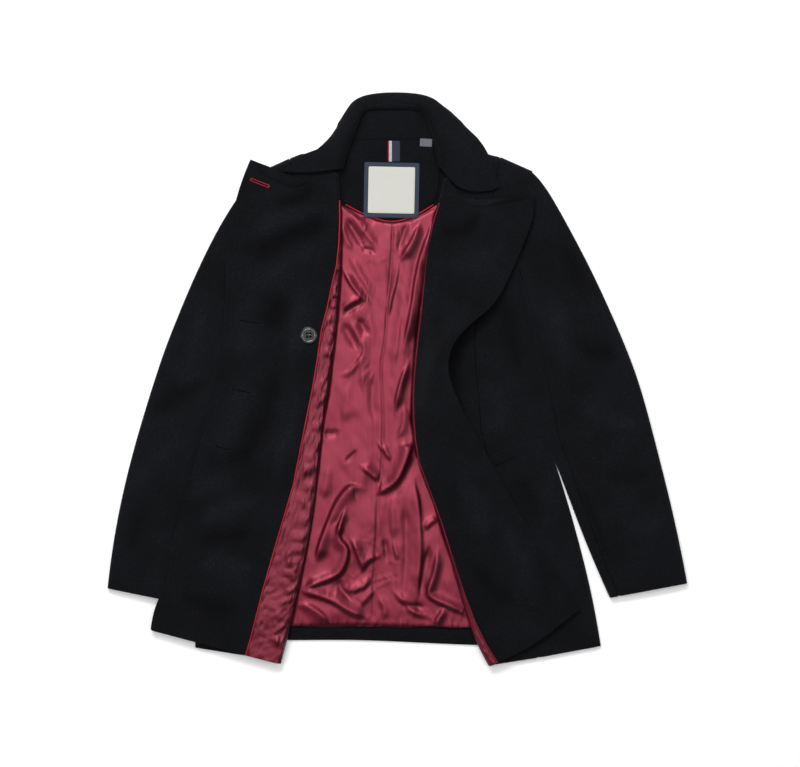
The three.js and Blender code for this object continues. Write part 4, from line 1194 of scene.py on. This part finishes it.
def shaded_side(mesh: bpy.types.Mesh) -> np.ndarray:
    """Gives how far each point lies on the shaded side of a fold, for painting shade on the satin.

    Args:
        mesh: The finished cloth.

    Returns:
        Values from 0, flat or lit, to about 1, steep and turned away from the light.
    """
    flat = np.empty(len(mesh.vertices) * 3, dtype=np.float32)
    mesh.vertex_normals.foreach_get("vector", flat)
    normals = flat.reshape(-1, 3)
    slope = normals[:, :2] / np.maximum(np.abs(normals[:, 2:]), LEAST_UPRIGHT)
    away = slope @ np.array(SHADE_SIDE)
    return SHADE_EVEN * np.linalg.norm(slope, axis=1) + (1.0 - SHADE_EVEN) * np.maximum(away, 0.0)


def dress(piece: bpy.types.Object, material: bpy.types.Material) -> None:
    """Gives a piece one material and smooth faces."""
    piece.data.materials.clear()
    piece.data.materials.append(material)
    piece.data.polygons.foreach_set("use_smooth", [True] * len(piece.data.polygons))
    piece.data.update()


def sewn_on(piece: bpy.types.Object) -> None:
    """Makes a piece ride on the coat."""
    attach(piece, "root")
    LOG.info("%s: %d faces", piece.name, len(piece.data.polygons))


PANELS: tuple[Panel, ...] = (
    Panel("back", "wool", Slot.WOOL, Lay.STILL, (0.57, 0.71), 0.297, (), 2),
    Panel("back_lining", "satin", Slot.LINING, Lay.LINING, (0.31, 0.60), 0.112, ("back",), 3),
    Panel("back_hem_band", "facing", Slot.FACING, Lay.STILL, (0.32, 0.025), 0.0057, ("back",), 2),
    Panel("neck_facing", "facing", Slot.FACING, Lay.COLLAR, (0.14, 0.115), 0.0138, ("back",), 2),
    Panel("side_front_left", "wool", Slot.WOOL, Lay.LOWER, (0.12, 0.70), 0.0555, ("back",), 3),
    Panel("side_front_right", "wool", Slot.WOOL, Lay.LOWER, (0.10, 0.70), 0.043, ("back",), 3),
    Panel("front_left", "wool", Slot.WOOL, Lay.BOTH, (0.24, 0.72), 0.134, ("back",), 3, Held.FOLDED),
    Panel("front_right", "wool", Slot.WOOL, Lay.BOTH, (0.26, 0.72), 0.151, ("back",), 3, Held.FOLDED),
    Panel("facing_left", "facing", Slot.FACING, Lay.FLAP, (0.14, 0.70), 0.069, ("front_left",), 3,
          soft_edge=2.2),
    Panel("facing_right", "facing", Slot.FACING, Lay.FLAP, (0.17, 0.69), 0.094, ("front_right",), 3,
          soft_edge=2.2),
    Panel("front_lining_left", "strip satin", Slot.LINING, Lay.STRIP, (0.036, 0.66), 0.019, ("front_left",),
          3, Held.FOLDED),
    Panel("front_lining_right", "strip satin", Slot.LINING, Lay.STRIP, (0.072, 0.66), 0.035,
          ("front_right",), 3, Held.FOLDED),
    Panel("top_sleeve_left", "wool", Slot.WOOL, Lay.LOWER, (0.17, 0.60), 0.073, ("back",), 3, Held.FOLDED),
    Panel("top_sleeve_right", "wool", Slot.WOOL, Lay.LOWER, (0.17, 0.60), 0.076, ("back",), 3, Held.FOLDED),
    Panel("under_sleeve_left", "wool", Slot.WOOL, Lay.LOWER, (0.15, 0.58), 0.062, (), 3, Held.FOLDED),
    Panel("under_sleeve_right", "wool", Slot.WOOL, Lay.LOWER, (0.15, 0.58), 0.065, (), 3, Held.FOLDED),
    Panel("upper_collar", "wool", Slot.WOOL, Lay.COLLAR, (0.085, 0.42), 0.024, ("under_collar",), 3,
          Held.FOLDED),
    Panel("under_collar", "wool", Slot.WOOL, Lay.STILL, (0.058, 0.40), 0.0133, ("back",), 2, Held.FOLDED),
    Panel("collar_stand", "wool", Slot.WOOL, Lay.COLLAR, (0.115, 0.042), 0.0039, ("back",), 3),
    Panel("pocket_welt_left", "wool", Slot.WOOL, Lay.LOWER, (0.11, 0.016), 0.0016, ("front_left",), 2),
    Panel("pocket_welt_right", "wool", Slot.WOOL, Lay.LOWER, (0.075, 0.016), 0.0012, ("front_right",), 2),
    Panel("label_frame", "frame", Slot.LABEL_FRAME, Lay.STILL, (0.077, 0.077), 0.0059, ("neck_facing",), 2),
    Panel("label", "label", Slot.LABEL, Lay.STILL, (0.065, 0.065), 0.0042, ("label_frame",), 2),
    Panel("hanger_loop", "tape", Slot.TAPE, Lay.STILL, (0.017, 0.029), 0.00049, ("neck_facing",), 2),
    Panel("size_label", "size", Slot.TAPE, Lay.STILL, (0.017, 0.011), 0.00018, ("neck_facing",), 2),
)


def stitch_tree() -> bpy.types.NodeTree:
    """Builds a row of stitches along the edges of a mesh.

    Returns:
        The geometry tree: it spaces small rounded threads along the row and turns each one.
    """
    tree = bpy.data.node_groups.new("stitch_row", "GeometryNodeTree")
    tree.is_modifier = True
    face = tree.interface
    face.new_socket("Geometry", in_out="INPUT", socket_type="NodeSocketGeometry")
    for title in ("Pitch", "Length", "Width", "Turn"):
        face.new_socket(title, in_out="INPUT", socket_type=FLOAT)
    face.new_socket("Thread", in_out="INPUT", socket_type="NodeSocketMaterial")
    face.new_socket("Geometry", in_out="OUTPUT", socket_type="NodeSocketGeometry")
    write = NodeWriter(tree)
    given = write.node("NodeGroupInput").outputs
    row = write.node("GeometryNodeMeshToCurve", {"Mesh": given["Geometry"]}).outputs["Curve"]
    places = write.node(
        "GeometryNodeCurveToPoints", {"Curve": row, "Length": given["Pitch"]}, mode="LENGTH"
    ).outputs
    along = write.node("FunctionNodeAlignRotationToVector", {"Vector": places["Tangent"]}, axis="X")
    turn = write.node("FunctionNodeAxisAngleToRotation", {"Axis": (0.0, 0.0, 1.0), "Angle": given["Turn"]})
    turned = write.node(
        "FunctionNodeRotateRotation",
        {"Rotation": along.outputs["Rotation"], "Rotate By": turn.outputs["Rotation"]},
        rotation_space="LOCAL",
    )
    thread = write.node("GeometryNodeMeshUVSphere", {"Segments": 7, "Rings": 5, "Radius": 0.5})
    size = write.node(
        "ShaderNodeCombineXYZ", {"X": given["Length"], "Y": given["Width"], "Z": given["Width"]}
    )
    uneven = write.node(
        "FunctionNodeRandomValue",
        {0: STITCH_LEAST, 1: STITCH_MOST, "Seed": SEED},
        data_type="FLOAT_VECTOR",
    )
    scale = write.node(
        "ShaderNodeVectorMath", {0: size.outputs[0], 1: uneven.outputs[0]}, operation="MULTIPLY"
    )
    stitches = write.node(
        "GeometryNodeInstanceOnPoints",
        {
            "Points": places["Points"],
            "Instance": thread.outputs["Mesh"],
            "Rotation": turned.outputs["Rotation"],
            "Scale": scale.outputs[0],
        },
    )
    whole = write.node("GeometryNodeRealizeInstances", {"Geometry": stitches.outputs["Instances"]})
    dyed = write.node(
        "GeometryNodeSetMaterial", {"Geometry": whole.outputs["Geometry"], "Material": given["Thread"]}
    )
    write.node("NodeGroupOutput", {"Geometry": dyed.outputs["Geometry"]})
    return tree


@dataclass(frozen=True)
class Stitch:
    """One kind of stitch.

    Attributes:
        pitch: Distance from one stitch to the next, in metres.
        length: Length of a stitch in metres.
        width: Thickness of its thread in metres.
        turn: Angle to the row, in radians.
        thread: Name of the thread's finish.
        slot: The record's material slot. Not used here.
    """

    pitch: float
    length: float
    width: float
    turn: float
    thread: str
    slot: Slot


TOPSTITCH = Stitch(0.0034, 0.0026, 0.0006, 0.0, "black", Slot.WOOL)
SATIN_STITCH = Stitch(0.0026, 0.0019, 0.00035, 0.0, "crimson", Slot.LINING)
LABEL_STITCH = Stitch(0.0022, 0.0014, 0.0004, 0.0, "grey", Slot.LABEL_FRAME)
BLACK_HOLE = Stitch(0.0008, 0.0021, 0.0009, math.pi / 2, "black", Slot.WOOL)
CRIMSON_HOLE = Stitch(0.0008, 0.0022, 0.0009, math.pi / 2, "crimson", Slot.PIPING)


@dataclass(frozen=True)
class Row:
    """A row of stitches through places in the photograph.

    Attributes:
        name: The piece's name.
        host: Node of the panel that it is sewn on.
        path: Places in pixels.
        stitch: Kind of stitch.
    """

    name: str
    host: str
    path: Path
    stitch: Stitch


@dataclass(frozen=True)
class EdgeRow:
    """A row of topstitching that follows a panel's own edge.

    Attributes:
        name: The piece's name.
        host: Node of the panel.
        first: Where the edge is first looked for, in pixels.
        last: Where it is last looked for, in pixels.
        way: Direction from there to the edge, in plan.
        inset: Distance of the row from the edge, in metres.
    """

    name: str
    host: str
    first: Place
    last: Place
    way: tuple[float, float]
    inset: float = 0.009

    def places(self, points: np.ndarray) -> np.ndarray:
        """Finds the row's plan points.

        Args:
            points: The panel's points, shape (n, 3).

        Returns:
            Plan points, shape (m, 2).
        """
        first, last = np.array(on_plan(*self.first)), np.array(on_plan(*self.last))
        way = np.array(self.way) / np.linalg.norm(self.way)
        count = max(EDGE_LEAST, round(np.linalg.norm(last - first) / EDGE_STEP))
        edge = []
        for origin in first + np.linspace(0.0, 1.0, count)[:, None] * (last - first):
            rel = points[:, :2] - origin
            near = np.abs(rel[:, 0] * way[1] - rel[:, 1] * way[0]) < EDGE_REACH
            if near.any():
                edge.append(origin + way * float((rel[near] @ way).max()))
        line = np.array(edge)
        for _ in range(EDGE_ROUNDS):
            line[1:-1] = (line[:-2] + 2 * line[1:-1] + line[2:]) / 4
        step = np.gradient(line, axis=0)
        normal = np.stack([-step[:, 1], step[:, 0]], axis=1)
        normal /= np.linalg.norm(normal, axis=1)[:, None]
        inward = np.where((normal @ way)[:, None] < 0, normal, -normal)
        return line + inward * self.inset


ROWS: tuple[Row, ...] = (
    Row("centre_seam_stitches", "back_lining", CENTRE_SEAM, SATIN_STITCH),
    Row("roll_line_stitches", "upper_collar", ((372, 107), (384, 106), (397, 106), (410, 107), (418, 109)),
        TOPSTITCH),
    Row("stand_stitches", "collar_stand", ((364, 134), (380, 135), (400, 135), (426, 134)), TOPSTITCH),
    Row("lapel_stitches_left", "facing_left", ((462, 211), (484, 214), (506, 210), (522, 207)), TOPSTITCH),
    Row("lapel_stitches_right", "facing_right", ((258, 176), (280, 190), (297, 194), (316, 188)), TOPSTITCH),
    Row("label_stitches", "label_frame",
        ((367, 165), (391, 165), (415.6, 165), (415.6, 190), (415.6, 214), (391, 214), (367, 214),
         (367, 190), (367, 165)), LABEL_STITCH),
    Row("hem_stitches", "back_hem_band", ((292, 629), (340, 629.5), (400, 630), (468, 634)), TOPSTITCH),
    Row("welt_stitches", "side_front_left", ((494, 457), (503, 462), (513, 468)), TOPSTITCH),
)
EDGE_ROWS: tuple[EdgeRow, ...] = (
    EdgeRow("front_edge_stitches_left", "facing_left", (500, 212), (500, 600), (1, 0)),
    EdgeRow("front_edge_stitches_right", "facing_right", (270, 176), (270, 620), (-1, 0)),
    EdgeRow("cuff_stitches_left", "top_sleeve_left", (618, 540), (676, 530), (0, -1), 0.024),
    EdgeRow("cuff_stitches_right", "top_sleeve_right", (150, 540), (116, 530), (0, -1), 0.024),
)


@dataclass(frozen=True)
class Buttonhole:
    """A worked buttonhole: a slit with close stitches all round.

    Attributes:
        name: The piece's name.
        host: Node of the panel.
        ends: Its two ends in pixels.
        stitch: Kind of stitch.
        half_width: Half the distance between its two sides, in metres.
    """

    name: str
    host: str
    ends: tuple[Place, Place]
    stitch: Stitch
    half_width: float = 0.0013

    def outline(self) -> np.ndarray:
        """Gives the closed row round the slit as plan points."""
        start, end = (np.array(on_plan(*place)) for place in self.ends)
        along = (end - start) / np.linalg.norm(end - start)
        across = np.array([-along[1], along[0]])
        bows = [
            self.half_width * (math.cos(turn) * along + math.sin(turn) * across)
            for turn in np.linspace(-math.pi / 2, math.pi / 2, HOLE_TURNS)
        ]
        far = [end + bow for bow in bows]
        near = [start - bow for bow in bows]
        return np.array(far + near + far[:1])


BUTTONHOLES: tuple[Buttonhole, ...] = (
    Buttonhole("lapel_buttonhole", "facing_right", ((252.5, 181), (269, 187.5)), CRIMSON_HOLE, 0.0016),
    Buttonhole("buttonhole_1", "facing_right", ((240, 320.5), (263, 324.5)), BLACK_HOLE),
    Buttonhole("buttonhole_2", "facing_right", ((233, 389), (252, 393)), BLACK_HOLE),
    Buttonhole("buttonhole_3", "facing_right", ((215, 445), (233, 450)), BLACK_HOLE),
)


class Needlework:
    """Sews rows and buttonholes on the finished panels."""

    def __init__(self, pieces: dict[str, bpy.types.Object], wardrobe: Wardrobe) -> None:
        """Keeps the panels and makes the stitch tree.

        Args:
            pieces: Panels by node name.
            wardrobe: The materials.
        """
        self.pieces = pieces
        self.wardrobe = wardrobe
        self.tree = stitch_tree()
        self.grounds: dict[str, BVHTree] = {}

    def sew(self) -> None:
        """Sews everything."""
        for row in ROWS:
            self.row(row.name, row.host, smooth_path(row.path, ROW_STEP), row.stitch)
        for edge in EDGE_ROWS:
            self.row(edge.name, edge.host, edge.places(read_points(self.pieces[edge.host].data)), TOPSTITCH)
        for hole in BUTTONHOLES:
            self.row(hole.name, hole.host, hole.outline(), hole.stitch)
            self.slit(hole)

    def ground(self, host: str) -> BVHTree:
        """Gives a panel's surface to sew on."""
        if host not in self.grounds:
            mesh = self.pieces[host].data
            self.grounds[host] = BVHTree.FromPolygons(
                [vertex.co.copy() for vertex in mesh.vertices],
                [tuple(polygon.vertices) for polygon in mesh.polygons],
            )
        return self.grounds[host]

    def drop(self, host: str, path: np.ndarray, lift: float) -> list[Vector]:
        """Drops plan points onto a panel from above, and leaves out those beside it."""
        ground = self.ground(host)
        found = (ground.ray_cast(Vector((x, y, HIGH)), Vector((0, 0, -1)))[0] for x, y in path)
        return [place + Vector((0, 0, lift)) for place in found if place is not None]

    def row(self, name: str, host: str, path: np.ndarray, stitch: Stitch) -> None:
        """Sews one row.

        Args:
            name: The piece's name.
            host: Node of the panel.
            path: Plan points of the row.
            stitch: Kind of stitch.
        """
        shape = bmesh.new()
        knots = [shape.verts.new(place) for place in self.drop(host, path, STITCH_SINK * stitch.width)]
        for one, two in zip(knots, knots[1:]):
            shape.edges.new((one, two))
        piece = new_piece(name, shape)
        sewing = piece.modifiers.new("stitches", "NODES")
        sewing.node_group = self.tree
        values = {
            "Pitch": stitch.pitch,
            "Length": stitch.length,
            "Width": stitch.width,
            "Turn": stitch.turn,
            "Thread": self.wardrobe[stitch.thread],
        }
        for item in self.tree.interface.items_tree:
            if item.in_out == "INPUT" and item.name in values:
                sewing[item.identifier] = values[item.name]
        bake(piece)
        piece.data.polygons.foreach_set("use_smooth", [True] * len(piece.data.polygons))
        sewn_on(piece)

    def slit(self, hole: Buttonhole) -> None:
        """Lays the dark slit of a buttonhole: a thin near-black strip between its two sides, painted shade in
        the opening.

        Args:
            hole: The buttonhole.
        """
        start, end = (np.array(on_plan(*place)) for place in hole.ends)
        line = start + np.linspace(*SLIT_RUN, SLIT_STEPS)[:, None] * (end - start)
        along = Vector((*(end - start), 0.0)).normalized()
        across = Vector((-along.y, along.x, 0.0)) * SLIT_HALF_WIDTH
        depth = Vector((0, 0, SLIT_HALF_DEPTH))
        shape = bmesh.new()
        rings = [
            [shape.verts.new(place + offset) for offset in (-across, depth, across, -depth)]
            for place in self.drop(hole.host, line, 0.0)
        ]
        for one, two in zip(rings, rings[1:]):
            join_rings(shape, one, two)
        shape.faces.new(rings[0][::-1])
        shape.faces.new(rings[-1])
        bmesh.ops.recalc_face_normals(shape, faces=shape.faces)
        piece = new_piece(f"{hole.name}_slit", shape)
        dress(piece, self.wardrobe["slit"])
        sewn_on(piece)


class Coat:
    """The whole coat: its panels first, then what is sewn on them."""

    def __init__(self, frame: dict) -> None:
        """Keeps the frame and builds the materials.

        Args:
            frame: The loaded frame.
        """
        self.frame = frame
        self.wardrobe = Wardrobe()
        self.pieces: dict[str, bpy.types.Object] = {}

    def panels(self) -> None:
        for panel in PANELS:
            piece = panel.build(self.frame, self.wardrobe)
            sewn_on(piece)
            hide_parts(panel.node)
            self.pieces[panel.node] = piece

    def needlework(self) -> None:
        """Sews the rows and the buttonholes, and the rim and thread of the inner button."""
        Needlework(self.pieces, self.wardrobe).sew()
        self.button_ring()
        self.button_thread()

    def button_part(self, name: str, shape: bmesh.types.BMesh, finish: str) -> None:
        """Makes a small part of the inner button.

        Args:
            name: The piece's name.
            shape: Its faces, around the button's middle, with the button's top at height 0.
            finish: Name of the finish.
        """
        low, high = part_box("inner_button")
        middle = Vector(((low[0] + high[0]) / 2, (low[1] + high[1]) / 2, high[2]))
        bmesh.ops.translate(shape, verts=shape.verts, vec=middle)
        bmesh.ops.recalc_face_normals(shape, faces=shape.faces)
        piece = new_piece(name, shape)
        dress(piece, self.wardrobe[finish])
        sewn_on(piece)

    def button_ring(self) -> None:
        """Turns the polished ring that runs round the button's dish."""
        shape = bmesh.new()
        bead = np.linspace(0.0, 2 * math.pi, BEAD_STEPS, endpoint=False)
        rings = []
        for k in range(BUTTON_STEPS):
            angle = 2 * math.pi * k / BUTTON_STEPS
            out = Vector((math.cos(angle), math.sin(angle), 0.0))
            rings.append([
                shape.verts.new(
                    out * (BUTTON_RING + BUTTON_BEAD * math.cos(t))
                    + Vector((0, 0, BUTTON_BEAD * BEAD_FLATNESS * math.sin(t)))
                )
                for t in bead
            ])
        for one, two in zip(rings, rings[1:] + rings[:1]):
            join_rings(shape, one, two)
        self.button_part("inner_button_ring", shape, "polish")

    def button_thread(self) -> None:
        """Crosses two thick threads between the button's holes."""
        shape = bmesh.new()
        for turn in (math.pi / 4, -math.pi / 4):
            made = bmesh.ops.create_uvsphere(shape, u_segments=12, v_segments=8, radius=0.5)
            bmesh.ops.scale(shape, verts=made["verts"], vec=THREAD_SIZE)
            bmesh.ops.rotate(shape, verts=made["verts"], cent=(0, 0, 0), matrix=Matrix.Rotation(turn, 3, "Z"))
            bmesh.ops.translate(shape, verts=made["verts"], vec=(0, 0, THREAD_SINK))
        self.button_part("inner_button_thread", shape, "polish")

    def kept_solids(self) -> None:
        """Gives the solids that stay their finishes."""
        for name in ("piping_right", "piping_neck"):
            self.finish_solid(name, "piping")
        # piping_left takes the piping painted darker, as shade where the front's edge rolls over it
        self.finish_solid("piping_left", "shaded piping")
        for name in ("inner_button", "front_button_1", "front_button_2", "front_button_3"):
            self.finish_solid(name, "button")

    def finish_solid(self, name: str, finish: str) -> None:
        """Puts a material on a solid of the frame.

        Args:
            name: The solid's name.
            finish: Name of the finish.
        """
        mesh = self.frame["nodes"][name].data
        mesh.materials.clear()
        mesh.materials.append(self.wardrobe[finish])


@dataclass(frozen=True)
class SoftBox:
    """A soft box light.

    Attributes:
        name: The light's name.
        place: Where it stands, in metres.
        size: Width and height of its face.
        power: Watts.
    """

    name: str
    place: tuple[float, float, float]
    size: tuple[float, float]
    power: float


SOFT_BOXES: tuple[SoftBox, ...] = (
    SoftBox("overhead", (0.0, 0.35, 3.6), (2.4, 2.0), 44.0),
    SoftBox("north", (-0.55, 1.75, 2.4), (1.5, 0.8), 54.0),
    SoftBox("west", (-1.8, 0.0, 2.0), (0.5, 1.6), 9.0),
    SoftBox("east", (1.8, 0.0, 2.0), (0.5, 1.6), 7.0),
)
SKY_STRENGTH = 0.22
FLOOR_SIZE = 8.0
FLOOR_LOOK = {
    "Base Color": (0.97, 0.97, 0.97, 1), "Roughness": 0.9, "Emission Color": (1, 1, 1, 1),
    "Emission Strength": 0.1,
}
FAR_CLIP = 20.0


class Studio:
    """The floor, the lights and the camera."""

    def build(self) -> None:
        """Builds everything that isn't the coat."""
        self.floor()
        self.lights()
        self.camera()

    def floor(self) -> None:
        """Lays a plain pale floor."""
        bpy.ops.mesh.primitive_plane_add(size=FLOOR_SIZE, location=(0, 0, 0))
        plane = bpy.context.object
        plane.name = "floor"
        material = bpy.data.materials.new("pale_floor")
        material.use_nodes = True
        NodeWriter(material.node_tree).feed(material.node_tree.nodes["Principled BSDF"], FLOOR_LOOK)
        plane.data.materials.append(material)

    def lights(self) -> None:
        """Sets soft light from above, a little stronger from the collar's side."""
        for soft_box in SOFT_BOXES:
            data = bpy.data.lights.new(soft_box.name, "AREA")
            data.shape = "RECTANGLE"
            data.size, data.size_y = soft_box.size
            data.energy = soft_box.power
            light = bpy.data.objects.new(soft_box.name, data)
            light.location = soft_box.place
            light.rotation_euler = (-Vector(soft_box.place)).to_track_quat("-Z", "Y").to_euler()
            bpy.context.scene.collection.objects.link(light)
        world = bpy.data.worlds.new("studio")
        world.use_nodes = True
        background = {"Color": (1, 1, 1, 1), "Strength": SKY_STRENGTH}
        NodeWriter(world.node_tree).feed(world.node_tree.nodes["Background"], background)
        bpy.context.scene.world = world
        bpy.context.scene.view_settings.view_transform = "Standard"

    def camera(self) -> None:
        """Hangs the camera straight above the coat, framed as the photograph."""
        data = bpy.data.cameras.new("overhead")
        data.sensor_width = SENSOR_WIDTH
        data.lens = SENSOR_WIDTH * CAMERA_HEIGHT / (IMAGE_WIDTH * METRES_PER_PIXEL)
        data.clip_end = FAR_CLIP
        camera = bpy.data.objects.new("overhead", data)
        x, y = on_plan(*IMAGE_CENTRE)
        camera.location = (x, y, CAMERA_HEIGHT)
        bpy.context.scene.collection.objects.link(camera)
        bpy.context.scene.camera = camera


def main() -> None:
    """Dresses the coat in order."""
    logging.basicConfig(level=logging.INFO, format="%(name)s: %(message)s")
    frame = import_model()
    Studio().build()
    coat = Coat(frame)
    coat.panels()
    coat.kept_solids()
    coat.needlework()
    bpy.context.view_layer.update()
    LOG.info("the coat is dressed")


if __name__ == "__main__":
    main()
